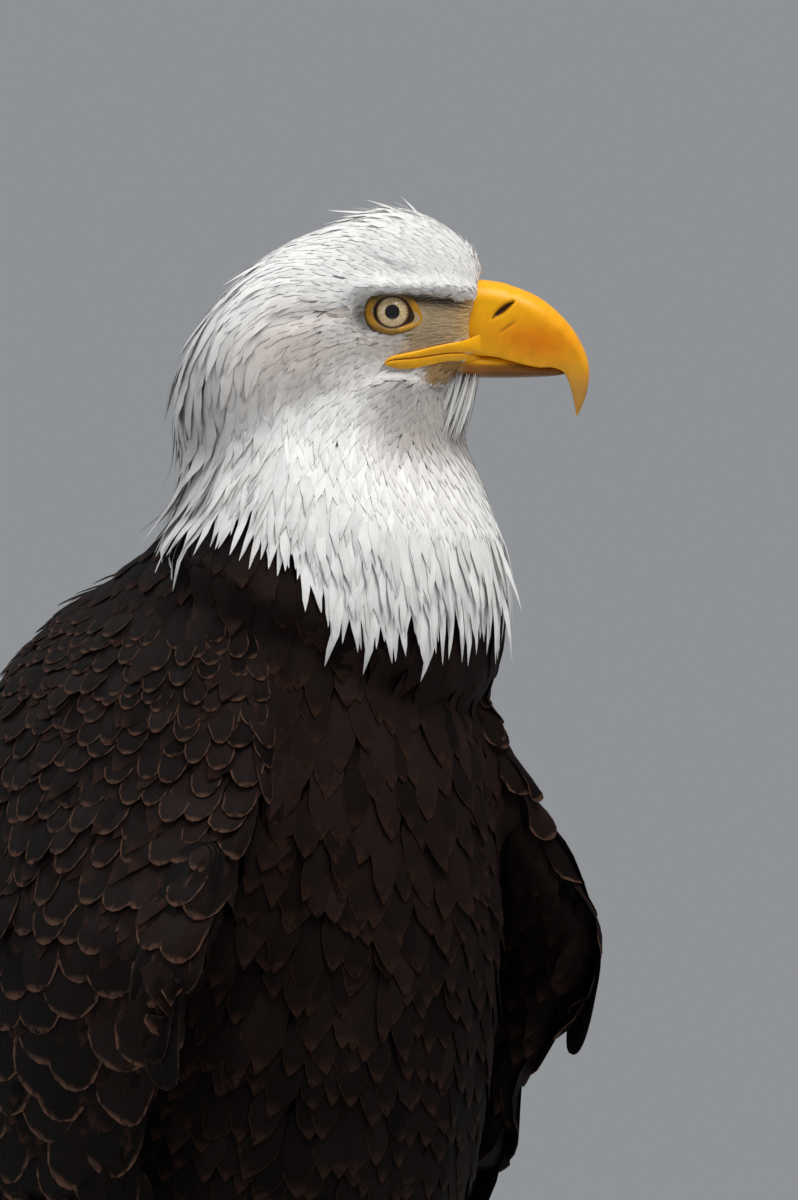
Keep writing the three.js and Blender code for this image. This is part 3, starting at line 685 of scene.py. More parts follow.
def lay_feathers(roots, ways, lengths, widths, style):
    """The vertices of a feather for each root, which follows the body. ways is a function of
    place, or one way for each root. Lengths and widths are in mm."""
    lengths = lengths * MM
    half = widths[:, None] * MM / 2
    here, normal = settle(roots)
    spine, facing = [here], [normal]
    for _ in range(STATIONS - 1):
        way = ways(here) if callable(ways) else ways
        here, normal = settle(here + along_surface(way, normal) * lengths[:, None] / (STATIONS - 1))
        spine.append(here)
        facing.append(normal)
    spine = np.stack(spine, 1)
    facing = np.stack(facing, 1)
    sideways = unit(np.cross(np.gradient(spine, axis=1) + 1e-5 * facing[:, :, [1, 2, 0]], facing))
    twist = style["twist"] * rng.normal(size=(len(roots), 1, 1))
    share = np.linspace(0, 1, STATIONS)[:, None]
    spine = spine + sideways * twist * lengths[:, None, None] * share**2
    right, _ = settle((spine + sideways * half[:, :, None]).reshape(-1, 3))
    left, _ = settle((spine - sideways * half[:, :, None]).reshape(-1, 3))
    bow = (right + left).reshape(spine.shape) / 2 - spine
    limit = 0.55 * half[:, :, None]
    bow *= np.minimum(1, limit / np.maximum(np.linalg.norm(bow, axis=-1, keepdims=True), 1e-9))
    sunk = 0.5 + 0.35 * rise(face_distance(roots), 120, 200)
    return vanes_along(spine, facing, widths, style, bow, sunk * plumage_depth(roots) * MM)


def bake_place(points):
    """Each root's place on an unwrap of the skin: its six sides, laid out three by two."""
    roots, normals = settle(points)
    side = np.abs(normals).argmax(1)
    away = normals[np.arange(len(roots)), side] < 0
    low, high = roots.min(0), roots.max(0)
    even = (roots - low) / (high - low)
    first = np.where(side == 0, even[:, 1], even[:, 0])
    second = np.where(side == 2, even[:, 1], even[:, 2])
    return np.stack([(side + 0.04 + 0.92 * first) / 3, (away + 0.04 + 0.92 * second) / 2], 1)


BAKE_PATCH = 0.003  # the size of one feather on the unwrap


def vane_mesh(name, vertices, pattern, colors, bake_at=None):
    """One mesh of all the feathers, with their colours and the maps that the materials read."""
    count, size = vertices.shape[:2]
    faces = pattern["faces"]
    loops = np.concatenate(faces)
    starts = np.cumsum([0] + [len(f) for f in faces[:-1]])
    mesh = bpy.data.meshes.new(name)
    mesh.vertices.add(count * size)
    mesh.vertices.foreach_set("co", vertices.reshape(-1).astype(np.float32))
    step = np.arange(count)[:, None]
    mesh.loops.add(count * len(loops))
    corner = (loops[None] + step * size).ravel()
    mesh.loops.foreach_set("vertex_index", corner.astype(np.int32))
    mesh.polygons.add(count * len(faces))
    mesh.polygons.foreach_set("loop_start", (starts[None] + step * len(loops)).ravel().astype(np.int32))
    mesh.update(calc_edges=True)
    mesh.shade_smooth()
    border = np.abs(pattern["across"]) == 1
    border[[0, np.argmax(pattern["along"])]] = True
    ends = np.empty(len(mesh.edges) * 2, np.int32)
    mesh.edges.foreach_get("vertices", ends)
    crisp = border[ends % size].reshape(-1, 2).all(axis=1)
    mesh.attributes.new("sharp_edge", "BOOLEAN", "EDGE").data.foreach_set("value", crisp)
    on_vane = np.stack([pattern["across"] / 2 + 0.5, pattern["along"]], 1)
    vane_map = mesh.uv_layers.new(name="Vane")
    vane_map.data.foreach_set("uv", np.tile(on_vane[loops], (count, 1)).ravel().astype(np.float32))
    if bake_at is not None:
        patch = bake_at[:, None] + BAKE_PATCH * (on_vane[loops] - 0.5)[None]
        mesh.uv_layers.new(name="OFBake").data.foreach_set("uv", patch.ravel().astype(np.float32))
        mesh.uv_layers["Vane"].active = True
        mesh.uv_layers["Vane"].active_render = True
    paint(mesh, np.repeat(np.clip(colors, 0, 1), size, axis=0))
    return mesh


def feather_material(name, barbs, slant, roughness, rim, relief, depth, **sockets):
    """Barbs run from the quill to the edge of each vane, relief metres high, with painted shade
    between them by depth. rim colours the edge near the tip."""
    material = new_material(name, roughness, **sockets)
    vane_uv = add(material, "ShaderNodeUVMap", uv_map="Vane")[0]
    u, v, _ = add(material, "ShaderNodeSeparateXYZ", vane_uv)[:3]
    out = sums(material, "ABSOLUTE", sums(material, "MULTIPLY_ADD", u, 2.0, -1.0))
    waver = grained(material, "Noise", 1500.0, 2.0)
    line = sums(material, "MULTIPLY_ADD", out, barbs, sums(material, "MULTIPLY", v, -slant))
    line = sums(material, "MULTIPLY_ADD", waver, 0.7, line)
    wave = sums(material, "SINE", sums(material, "MULTIPLY", line, 2 * math.pi))
    wave = sums(material, "MULTIPLY_ADD", wave, 0.5, 0.5)  # from 0 between the barbs to 1 on them
    quill = sums(material, "SUBTRACT", 1.0, ramped(material, out, 0.03, 0.1))
    height = sums(material, "MAXIMUM", wave, sums(material, "MULTIPLY", quill, 1.4))
    # Painted shade between the barbs, deeper by depth.
    streak = sums(material, "MULTIPLY_ADD", wave, depth, 1 - depth)
    patches = grained(material, "Noise", 280.0, 3.0)
    cloud = sums(material, "MULTIPLY_ADD", patches, 2 * depth, 1 - depth)
    streak = sums(material, "MULTIPLY", streak, cloud)
    color = blended(material, 1.0, own_color(material), streak, "MULTIPLY")
    if rim:
        edge = ramped(material, out, *rim["edge"])
        edge = sums(material, "MULTIPLY", edge, ramped(material, v, 0.5, 0.85))
        tip = sums(material, "MAXIMUM", edge, ramped(material, v, *rim["tip"]))
        faded = sums(material, "MULTIPLY", ramped(material, patches, 0.3, 0.55), rim["strength"])
        color = blended(material, sums(material, "MULTIPLY", tip, faded), color, rim["color"])
    to_shader(material, "Base Color", color)
    raised(material, height, relief)
    return material


def dressed(name, roots, ways, lengths, widths, style, material, colors=None, uneven_tone=0.05):
    """Makes one piece of the coat from its roots."""
    if colors is None:
        colors = plumage_color(roots)
    tone = 1 + uneven_tone * rng.normal(size=(len(roots), 1))
    vertices = lay_feathers(roots, ways, lengths, widths, style)
    mesh = vane_mesh(name, vertices, style["vane"], colors * tone, bake_place(roots))
    finish_with(build(name, mesh), material)


def room(points):
    """The room of each feather in mm, and how much more of it there is along the lie."""
    away = face_distance(points)
    head = 0.95 + 0.6 * rise(away, 14, 60) + 1.2 * rise(away, 60, 125)
    low = in_trunk(points)
    below = rise(-above_hem(points), -34, -16)
    body = 6.4 + 0.6 * rise(low[:, 1], 0, 80)
    stretch = 1.5 + 1.4 * rise(away, 14, 60) + 0.8 * rise(away, 60, 125)
    near_hem = rise(-above_hem(points), -85, -45)
    stretch = stretch + (1.5 - stretch) * np.maximum(below, 0.8 * near_hem)
    return head * (1 - below) + body * below, stretch


coat_roots, coat_facing = spread_roots(room, 11)


def clear_of_bill(points, gap):
    """Which points lie further than gap mm from the bill."""
    keep = np.ones(len(points), bool)
    for name in ("bill_upper", "bill_lower"):
        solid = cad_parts[name].data
        corners = [list(f.vertices) for f in solid.polygons]
        tree = BVHTree.FromPolygons([v.co for v in solid.vertices], corners)
        for i, point in enumerate(points):
            keep[i] &= tree.find_nearest(point, gap * MM)[0] is None
    return keep


def around_eye(points):
    """Distance from the nearer eye's middle as seen from the side, in mm."""
    _, fore, up = in_head(points).T
    return np.sqrt((fore / 1.15) ** 2 + (up / 0.95) ** 2)


# No feather grows from the bill, the lids or the lips, or reaches over them. The rim of the
# mouth is given by fore and level along its top and its bottom.
MOUTH_TOP = ((-3.6, -22.1), (2.8, -18.2), (17, -14.9), (31, -12.0), (37, -9.6), (42, -6.0))
MOUTH_BOTTOM = ((-3.6, -22.5), (2.8, -24.4), (9.5, -24.2), (17, -22.6), (24, -21.2), (42, -21.5))
MOUTH_FORE = (-3, 42)
MOUTH_SIDE = 8
JAW_END = 24  # behind this the feathers under the mouth stay, however near the bill they are
SHORT_TIP = 6.5 * MM
LID_ROOM = 9.8  # how far round each eye no root lies
TIP_ROOM = (8.2, 10.6)  # how far no tip reaches, above the eye and elsewhere
FACE_SIDE = 14  # the eyes and the mouth lie further out than this
head_zone = in_head(coat_roots)
near_head = (np.abs(head_zone) < 120).all(axis=1)
keep = np.ones(len(coat_roots), bool)
keep[near_head] = clear_of_bill(coat_roots[near_head], 1.5)
side, fore, up = head_zone.T
keep |= near_head & (fore < JAW_END) & (up < np.interp(fore, *zip(*MOUTH_BOTTOM)))
tips = coat_roots + along_surface(lie(coat_roots), coat_facing) * SHORT_TIP
open_root = around_eye(coat_roots) > LID_ROOM
for places in (head_zone, in_head(tips)):
    side, fore, up = places.T
    top = np.interp(fore, *zip(*MOUTH_TOP)) + 0.3
    bottom = np.interp(fore, *zip(*MOUTH_BOTTOM)) - 0.2
    in_mouth = (fore > MOUTH_FORE[0]) & (fore < MOUTH_FORE[1]) & (up < top) & (up > bottom)
    open_root &= ~(in_mouth & (abs(side) > MOUTH_SIDE))
open_tip = around_eye(tips) > np.where(in_head(tips)[:, 2] > 5.5, *TIP_ROOM)
keep[near_head] &= ((open_root & open_tip) | (abs(head_zone[:, 0]) < FACE_SIDE))[near_head]
coat_roots, coat_facing = coat_roots[keep], coat_facing[keep]
away = face_distance(coat_roots)
hem = above_hem(coat_roots)
low = in_trunk(coat_roots)
turn = round_neck(coat_roots)
LAST_WHITE = 37  # the lowest white roots lie about this far above the hem
uneven_edge = 2 * np.sin(9 * turn) + 2 * np.sin(23 * turn + 1)
is_white = hem > LAST_WHITE + uneven_edge + 2.5 * rng.normal(size=len(hem))

THREE = (-1, 0, 1)
FIVE = (-1, -0.5, 0, 0.5, 1)
lappet = vane(8, FIVE, 0.5, 1.45, 0.9)
strand = vane(6, THREE, 0.45, 1.4, 0.95)
fine = vane(4, THREE, 0.45, 1.5, 0.9)
blunt = vane(7, FIVE, 0.6, 2.0, 0.68)
pointed = vane(8, FIVE, 0.6, 1.6, 0.85)
white_barbs = feather_material(
    "white_plumage", 7.0, 9.0, 0.8, None, 0.00010, 0.06, Sheen_Weight=0.2,
)
fine_barbs = feather_material(
    "fine_white_plumage", 3.5, 5.0, 0.85, None, 0.00005, 0.05, Sheen_Weight=0.2,
)
BROWN_EDGE = {
    "color": (0.050, 0.022, 0.014, 1), "strength": 0.7, "edge": (0.9, 1.0), "tip": (0.8, 1.0),
}
dark_barbs = feather_material(
    "dark_plumage", 10.0, 12.0, 0.65, BROWN_EDGE, 0.00012, 0.2, Specular_IOR_Level=0.04,
)


def uneven(size, share=0.12):
    """Factors about 1 that differ by this share."""
    return np.clip(1 + share * rng.normal(size=size), 0.5, 1.6)


def standing(low_lift, high_lift, share, count):
    """The lifts of the tips in mm: most lie close, and some stand off."""
    return low_lift + (high_lift - low_lift) * (rng.random(count) < share) * rng.random(count)


in_lores = lore_share(coat_roots) > 0.25 + 0.5 * rng.random(len(coat_roots))
on_lores = in_lores & (rng.random(len(coat_roots)) < 0.6)
far = away[on_lores]
dressed(
    "lore_bristles", coat_roots[on_lores], lie,
    5.5 * uneven(len(far), 0.25), 0.5 * uneven(len(far)),
    cut(fine, standing(0.1, 0.5, 0.3, len(far)), 0.1, 0.1, 0.05, 0.02),
    fine_barbs, uneven_tone=0.1,
)
FACE_END = 46  # how far from the lores the face and the crown end
CROWN_END = 84
on_face = is_white & (away < FACE_END) & ~in_lores
far = away[on_face]
dressed(
    "face_feathers", coat_roots[on_face], lie,
    (5.5 + 7.5 * rise(far, 14, FACE_END)) * uneven(len(far)), 1.9 + 1.0 * rise(far, 14, FACE_END),
    cut(fine, standing(0.05, 0.4, 0.04, len(far)), 0.12, 0.06, 0.04, 0.01),
    fine_barbs,
)
on_crown = is_white & (away >= FACE_END) & (away < CROWN_END)
far = away[on_crown]
_, fore, up = in_head(coat_roots[on_crown]).T
crest = np.maximum(rise(up, 30, 42) * rise(fore, -22, -6), 0.55 * rise(-fore, 34, 52))
back = rise(far, FACE_END, CROWN_END)
dressed(
    "crown_feathers", coat_roots[on_crown], lie,
    (14 + 10 * back) * uneven(len(far)), 3.0 + 1.5 * back,
    cut(
        strand, standing(0.06, 0.9 + 4.5 * crest, 0.03 + 0.3 * crest, len(far)),
        0.15, 0.07, 0.05, 0.01,
    ),
    fine_barbs,
)
side, fore, up = in_head(coat_roots).T
on_edge = (fore > 31) & (up > 12) & (abs(side) < 12)
spots = coat_roots[on_edge]
over_bill = head_axes[1] * 0.75 + head_axes[2] * 0.6 + 0.25 * rng.normal(size=(len(spots), 3))
dressed(
    "forehead_fringe", spots, unit(over_bill),
    5.5 * uneven(len(spots), 0.25), 1.5 * uneven(len(spots)),
    cut(fine, standing(0.6, 2.0, 0.5, len(spots)), 0.1, 0.12, 0.08, 0.02),
    fine_barbs, np.tile(WHITE, (len(spots), 1)),
)
on_neck = is_white & (away >= CROWN_END)
far = away[on_neck]
low_down = rise(-hem[on_neck], -105, -45)
_, fore, up = in_head(coat_roots[on_neck]).T
stands_off = np.maximum(1.3 * rise(-fore, 50, 80), 0.8 * rise(fore, 20, 38))
down_neck = rise(far, CROWN_END, 140)
dressed(
    "neck_hackles", coat_roots[on_neck], lie,
    (30 + 14 * down_neck + 10 * low_down) * uneven(len(far), 0.16),
    (4.8 + 2.0 * down_neck) * uneven(len(far)),
    cut(
        lappet,
        standing(0.06, 1.0 + 4.0 * stands_off, 0.03 + 0.3 * stands_off, len(far)) + 2.2 * low_down,
        0.14, 0.06, 0.05, 0.01,
    ),
    white_barbs, plumage_color(coat_roots[on_neck], 0),
)
# The strands under the chin hang from the lower jaw, between two places fore of the eyes.
CHIN_COUNT = 620
CHIN_FORE = (8, 38)
CHIN_HALF = 10.8
CHIN_LEVEL = -24.8
CHIN_LONGEST = 32
share = rng.random(CHIN_COUNT)
where = rng.uniform(-1, 1, CHIN_COUNT)
fore = CHIN_FORE[0] + (CHIN_FORE[1] - CHIN_FORE[0]) * share
level = CHIN_LEVEL - 2.5 * (1 - where**2)
root = np.stack([where * CHIN_HALF * (1 - 0.3 * share), fore, level], 1)
back = -0.12 - 0.22 * rng.random(CHIN_COUNT)
hang = np.stack([0.2 * where, back, -np.ones(CHIN_COUNT)], 1)
long = CHIN_LONGEST * (1 - 0.25 * rng.random(CHIN_COUNT)) * (0.7 + 0.3 * rise(share, 0.1, 0.8))
aside = 0.08 * rng.normal(size=CHIN_COUNT)
swing = np.stack([aside, -0.1 * uneven(CHIN_COUNT, 0.5), np.zeros(CHIN_COUNT)], 1)
reach = np.linspace(0, 1, STATIONS)[None, :, None]
path = root[:, None] + (hang[:, None] * reach + swing[:, None] * reach**2) * long[:, None, None]
facing = unit(np.stack([where, 0.8 * share + 0.2, 0 * share], 1))
facing = np.repeat((facing @ head_axes)[:, None], STATIONS, axis=1)
spine = from_head(path)
wide = 1.5 * uneven(CHIN_COUNT, 0.2)
vertices = vanes_along(spine, facing, wide, cut(strand, 0.0, 0.15, 0, 0.05, 0.03))
colors = np.tile(WHITE * 0.93, (CHIN_COUNT, 1)) * uneven((CHIN_COUNT, 1), 0.05)
mesh = vane_mesh("chin_feathers", vertices, strand, colors, bake_place(spine[:, 0]))
finish_with(build("chin_feathers", mesh), fine_barbs)
FIRST_DARK = 20  # the highest dark roots lie this far above the hem
on_breast = (hem < FIRST_DARK) & (low[:, 1] > 20)
on_back = (hem < FIRST_DARK) & ~on_breast
for name, zone, pattern, long, wide in (
    ("breast_feathers", on_breast, pointed, 42, 14.5), ("back_feathers", on_back, blunt, 32, 13.5),
):
    count = zone.sum()
    dressed(
        name, coat_roots[zone], lie, long * uneven(count), wide * uneven(count, 0.08),
        cut(pattern, standing(0.4, 2.0, 0.2, count), 0.08, 0.09, 0.2, 0.035),
        dark_barbs, uneven_tone=0.26,
    )

# ---- wing coverts ----
# The rounded feathers that cover each folded wing's arm, in rows from the shoulder down. They
# are small over the wrist and large above the flight feathers, dark brown with a thin pale rim.
# They lie on the curved sheet of the folded wing.

# Each row gives the sheet's leading edge, the point that pulls it outwards and its back edge,
# each as side, fore and up in mm.
WING = np.array([
    [(48, 52, 536), (80, -24, 543), (22, -48, 550)],
    [(66, 80, 508), (118, -47, 524), (20, -84, 530)],
    [(77, 98, 466), (154, -78, 486), (18, -112, 496)],
    [(105, 101, 426), (162, -80, 436), (18, -128, 446)],
    [(131, 100, 380), (160, -84, 386), (18, -138, 394)],
    [(122, 64, 332), (150, -94, 332), (19, -148, 338)],
    [(117, 52, 278), (136, -106, 278), (21, -159, 284)],
    [(103, 14, 218), (114, -118, 222), (22, -172, 234)],
    [(80, -56, 166), (82, -146, 174), (21, -193, 190)],
    [(52, -138, 128), (50, -188, 138), (18, -219, 150)],
    [(30, -226, 98), (27, -238, 102), (18, -248, 108)],
], float)
SIDES = {"left": 1, "right": -1}


def smooth_rows(table, share):
    """The rows of a table as a smooth curve, read at shares from 0 to 1 of its length."""
    last = len(table) - 1
    where = np.clip(share, 0, 1) * last
    i = np.minimum(where.astype(int), last - 1)
    t = (where - i).reshape(share.shape + (1,) * (table.ndim - 1))
    a, b, c, d = (table[np.clip(i + k, 0, last)] for k in (-1, 0, 1, 2))
    return b + 0.5 * t * (c - a + t * (2 * a - 5 * b + 4 * c - d + (3 * b - a - 3 * c + d) * t))


def wing_sheet(sign, along, across, deep=0.0):
    """A point of the folded wing, from shoulder to tip and from leading to back edge, deep mm
    under its outer face."""
    along, across, deep = np.broadcast_arrays(*(np.asarray(x, float) for x in (along, across, deep)))

    def outer(a, c):
        row = smooth_rows(WING, a)
        c = c[..., None]
        return (1 - c) ** 2 * row[..., 0, :] + 2 * c * (1 - c) * row[..., 1, :] + c**2 * row[..., 2, :]

    step = 0.01
    a = np.clip(along, step, 1 - step)
    down = outer(a + step, across) - outer(a - step, across)
    around = outer(a, across + step) - outer(a, across - step)
    place = outer(along, across) + unit(np.cross(down, around)) * deep[..., None]
    return from_trunk(place * (sign, 1, 1))


ALL_DARK = 900  # a height above the hem that the bird doesn't reach
COVERT_END = 0.575  # the share of the wing's length that the coverts cover
WING_LENGTH = 500
RIM = {
    "color": (0.135, 0.068, 0.044, 1), "strength": 0.8, "edge": (0.84, 0.98), "tip": (0.91, 0.99),
}
covert_vane = vane(8, (-1, -0.6, -0.2, 0.2, 0.6, 1), 0.6, 2.4, 0.5, 1.6)
covert_barbs = feather_material(
    "covert_plumage", 14.0, 18.0, 0.6, RIM, 0.00012, 0.2, Specular_IOR_Level=0.04,
)


def covert_size(along):
    """The width of the coverts in mm at this share of the wing's length."""
    return 9 + 4 * rise(along, 0.05, 0.2) + 15 * rise(along, 0.2, 0.38)


def covert_step(along):
    """How far each row of coverts shows below the one above it, in mm."""
    return 9.5 + 10 * rise(along, 0.08, 0.38)


for side, sign in SIDES.items():
    along, rows = 0.0, []
    while along < COVERT_END:
        width = covert_size(np.array(along))
        edge = wing_sheet(sign, np.full(40, along), np.linspace(0, 1, 40))
        stretch = np.linalg.norm(np.diff(edge, axis=0), axis=1).sum() / MM
        count = max(3, round(stretch / (0.8 * width)))
        across = (np.arange(count + 1) + 0.5 * (len(rows) % 2) - 0.25) / count
        rows.append(np.stack([np.full(count + 1, along), np.clip(across, 0, 1)], 1))
        along += covert_step(np.array(along)) / WING_LENGTH
    spots = np.concatenate(rows)
    spots = spots + rng.normal(size=spots.shape) * (0.006, 0.008)
    a, c = spots[:, 0], np.clip(spots[:, 1], 0, 1)
    size = covert_size(a) * uneven(len(a), 0.08)
    roots = wing_sheet(sign, a, c)
    ways = wing_sheet(sign, a + 0.03, c) - roots
    dressed(
        f"coverts_{side}", roots, ways,
        (2.3 * covert_step(a) + 8) * uneven(len(a), 0.08), 1.2 * size,
        cut(covert_vane, standing(1.2, 3.0, 0.25, len(a)), 0.03, 0.05, 0.3, 0.03),
        covert_barbs, plumage_color(roots, ALL_DARK), 0.28,
    )

# ---- flight feathers ----
# The long stiff quills of the folded wings: the secondaries lie over the primaries, and each
# quill overlaps the next. They lie on the same sheet as the coverts, from whose edge they come.

# Both kinds start at a share of the wing's length and reach across it from root to tip. The
# longest quill's tip, its place in the row and the shortening to the row's ends are shares too,
# and deep is how many mm they lie under the sheet.
SECONDARIES = {
    "count": 13, "start": 0.55, "across_root": (0.16, 1), "across_tip": (0.32, 1),
    "longest": 0.87, "longest_share": 0.75, "shortening": 0.12, "deep": 0.2,
}
PRIMARIES = {
    "count": 9, "start": 0.55, "across_root": (0.02, 0.6), "across_tip": (0.05, 0.95),
    "longest": 1, "longest_share": 0.35, "shortening": 0.16, "deep": 4.2,
}
QUILL = (-1, -0.72, -0.4, -0.1, 0, 0.1, 0.4, 0.72, 1)
quill_vane = vane(22, QUILL, 0.12, 7.0, 0.55, 1.2)
FLIGHT_EDGE = {
    "color": (0.040, 0.026, 0.020, 1), "strength": 0.8, "edge": (0.82, 0.97), "tip": (0.95, 1.0),
}
flight_barbs = feather_material(
    "flight_plumage", 26.0, 60.0, 0.55, FLIGHT_EDGE, 0.00012, 0.2, Specular_IOR_Level=0.03,
)
FLIGHT_COLOR = np.array([0.0065, 0.0048, 0.0045])


def mixed(pair, share):
    """A value between the two of a pair."""
    return pair[0] + (pair[1] - pair[0]) * share


OVERLAP = 1.9  # how wide each quill is, as a share of its room in the row


def quill_row(name, count, place, tips, lap_way, material, color, node):
    """A row of quills on a sheet. place gives a point for a share of the row, a share of the
    length and a depth in mm. lap_way is 1 where each quill dips under the next one."""
    u, v, under = quill_vane["across"], quill_vane["along"], quill_vane["under"]
    vertices = []
    for i in range(count):
        middle_share = (i + 0.5) / count
        lean = lap_way(middle_share)
        trim = 1 + 0.025 * rng.normal(size=quill_vane["rows"] + 2)[quill_vane["row"]]
        share = middle_share + OVERLAP * 0.5 * u * quill_vane["width"] * trim / count
        ridge = 0.7 * np.exp(-((u / 0.08) ** 2)) * (1 - v) ** 0.5
        deep = 0.9 + 0.9 * lean * u - ridge + under * quill_vane["width"]
        deep = deep + 0.25 * rng.normal() - 0.5 * v
        vertices.append(place(share, v * tips(middle_share), deep))
    colors = np.tile(color, (count, 1)) * (1 + 0.08 * rng.normal(size=(count, 1)))
    piece = build(name, vane_mesh(name, np.stack(vertices), quill_vane, colors))
    finish_with(piece, material)
    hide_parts(node)


def wing_quills(kind, sign):
    """The places and the tips of one kind of quill, for quill_row."""

    def place(share, reach, deep):
        along = mixed((kind["start"], 1), reach)
        across = mixed((mixed(kind["across_root"], share), mixed(kind["across_tip"], share)), reach)
        return wing_sheet(sign, along, across, kind["deep"] + deep)

    def tips(share):
        tip = kind["longest"] - kind["shortening"] * abs(share - kind["longest_share"])
        return (tip - kind["start"]) / (1 - kind["start"])

    return place, tips


for side, sign in SIDES.items():
    for kind, name in ((SECONDARIES, "secondaries"), (PRIMARIES, "primaries")):
        place, tips = wing_quills(kind, sign)
        quill_row(
            f"{name}_vanes_{side}", kind["count"], place, tips, lambda share: -1,
            flight_barbs, FLIGHT_COLOR, f"{name}_{side}",
        )

# ---- bastard wings ----
# Three short stiff quills at each wing's wrist, one over the other. They follow the leading edge
# down and end in a point that stands clear of the wing. BASTARD is their middle line, in mm.
BASTARD = np.array([
    (102, 92, 438), (117, 93, 410), (129, 91, 382), (129, 87, 356), (124, 86, 334),
], float)
BASTARD_LAYERS = ((1.0, 0.0), (0.86, -3.0), (0.72, -6.0))  # how far each reaches, and its shift
BASTARD_HALF = 10.5
BASTARD_TOE_IN = 0.25
BASTARD_STEP = 0.9  # how far each layer lies over the one below
aside = unit(np.array([BASTARD_TOE_IN, -1.0, 0.0]))
outwards = unit(np.array([1.0, BASTARD_TOE_IN, 0.0]))
ridge = 0.35 * np.exp(-((quill_vane["across"] / 0.1) ** 2))
for side, sign in SIDES.items():
    vanes = []
    for layer, (reach, shift) in enumerate(BASTARD_LAYERS):
        line = smooth_rows(BASTARD, np.clip(quill_vane["along"] * reach, 0, 1))
        height = BASTARD_STEP * layer - 0.8 - 0.8 * quill_vane["under"] + ridge
        across = quill_vane["across"] * BASTARD_HALF * quill_vane["width"] - shift
        spot = line + aside * across[:, None] + outwards * height[:, None]
        vanes.append(from_trunk(spot * (sign, 1, 1)))
    colors = np.tile(FLIGHT_COLOR, (len(vanes), 1))
    mesh = vane_mesh(f"bastard_wing_{side}", np.stack(vanes), quill_vane, colors)
    finish_with(build(f"bastard_wing_{side}", mesh), flight_barbs)

# ---- tail ----
# Twelve broad white quills in a shallow fan, with rows of white coverts over and under their
# roots. The tail droops behind the legs and its end stays clear of the ground.
TAIL_ROOT = np.array([0, -98, 204.0])
TAIL_DROOP = math.radians(42)
TAIL_LENGTH = 262
TAIL_START = 70  # how far from the root the quills begin
TAIL_WIDTH = (62, 104)  # at the quills' roots and at their tips
TAIL_QUILLS = 12
# The padded root of the tail: distance out, half width, and height over and under the axis.
TAIL_COVERTS = np.array([
    (0, 36, 26, 30), (50, 40, 20, 24), (105, 42, 11, 15), (155, 40, 5, 7), (186, 28, 2, 3),
], float)
COVERT_ROWS = 12
COVERTS_ROUND = 13
tail_axis = np.array([0, -math.cos(TAIL_DROOP), -math.sin(TAIL_DROOP)])
tail_over = np.array([0, -math.sin(TAIL_DROOP), math.cos(TAIL_DROOP)])
tail_barbs = feather_material(
    "tail_plumage", 24.0, 55.0, 0.65, None, 0.0001, 0.08, Sheen_Weight=0.15,
)


def tail_place(share, reach, deep):
    """A point of the shallow fan, from its right to its left edge and from root to tip."""
    out = TAIL_START + reach * (TAIL_LENGTH - TAIL_START)
    width = mixed(TAIL_WIDTH, reach)
    level = 1 - deep - 5 * (2 * share - 1) ** 2
    place = TAIL_ROOT + tail_axis * out[:, None] + tail_over * level[:, None]
    place[:, 0] += (share - 0.5) * width
    return from_trunk(place)


quill_row(
    "tail_vanes", TAIL_QUILLS, tail_place, lambda share: 1 - 0.2 * abs(share - 0.5) ** 1.5,
    lambda share: np.sign(share - 0.5), tail_barbs, WHITE * 0.97, "tail",
)


def tail_cover(along, angle):
    """A point on the padded root of the tail, from its stations."""
    reach, half, over, below = smooth_rows(TAIL_COVERTS, along).T
    lift = np.where(np.sin(angle) > 0, over, below) * np.sin(angle)
    place = TAIL_ROOT + tail_axis * reach[:, None] + tail_over * lift[:, None]
    place[:, 0] += np.cos(angle) * half
    return from_trunk(place)


spots = []
for row, along in enumerate(np.linspace(0.0, 0.83, COVERT_ROWS)):
    for k in range(COVERTS_ROUND):
        spots.append((along, (k + 0.5 * (row % 2)) / COVERTS_ROUND * 2 * math.pi))
spots = np.array(spots) + rng.normal(size=(len(spots), 2)) * (0.012, 0.06)
spots[:, 0] = np.clip(spots[:, 0], 0, 1)
reaches = [np.clip(spots[:, 0] + 0.26 * s, 0, 1) for s in np.linspace(0, 1, STATIONS)]
path = np.stack([tail_cover(reach, spots[:, 1]) for reach in reaches], 1)
outwards = path - from_trunk(TAIL_ROOT + tail_axis * 90)
ahead = unit(np.gradient(path, axis=1))
outwards = unit(outwards - ahead * (outwards * ahead).sum(-1, keepdims=True))
wide = 18.0 * uneven(len(spots))
vertices = vanes_along(path, outwards, wide, cut(blunt, 2.0, 0.08, 0, 0.2, 0.03), depth=2.5 * MM)
colors = np.tile(WHITE, (len(spots), 1)) * (1 + 0.04 * rng.normal(size=(len(spots), 1)))
around = np.stack([spots[:, 1] / 7 + 0.05, spots[:, 0] * 0.9 + 0.05], 1)
mesh = vane_mesh("tail_coverts", vertices, blunt, colors, around)
finish_with(build("tail_coverts", mesh), white_barbs)
# Under the coverts lies the tail's own root, down to this far out.
TAIL_ROOT_END = 178
TAIL_ROOT_SUNK = 2.0 * MM  # how far it lies inside its solid, and the size of its cells
root_shape = grown_over(["tail"], TAIL_ROOT_SUNK, 4)
for vert in root_shape.verts:
    vert.co -= vert.normal * TAIL_ROOT_SUNK
far = [v for v in root_shape.verts if (in_trunk([v.co])[0] - TAIL_ROOT) @ tail_axis > TAIL_ROOT_END]
bmesh.ops.delete(root_shape, geom=far, context="VERTS")
bmesh.ops.holes_fill(root_shape, edges=root_shape.edges, sides=0)
under_color = np.tile(WHITE * 0.75, (len(root_shape.verts), 1))
smooth_piece("tail_root", root_shape, down, under_color)

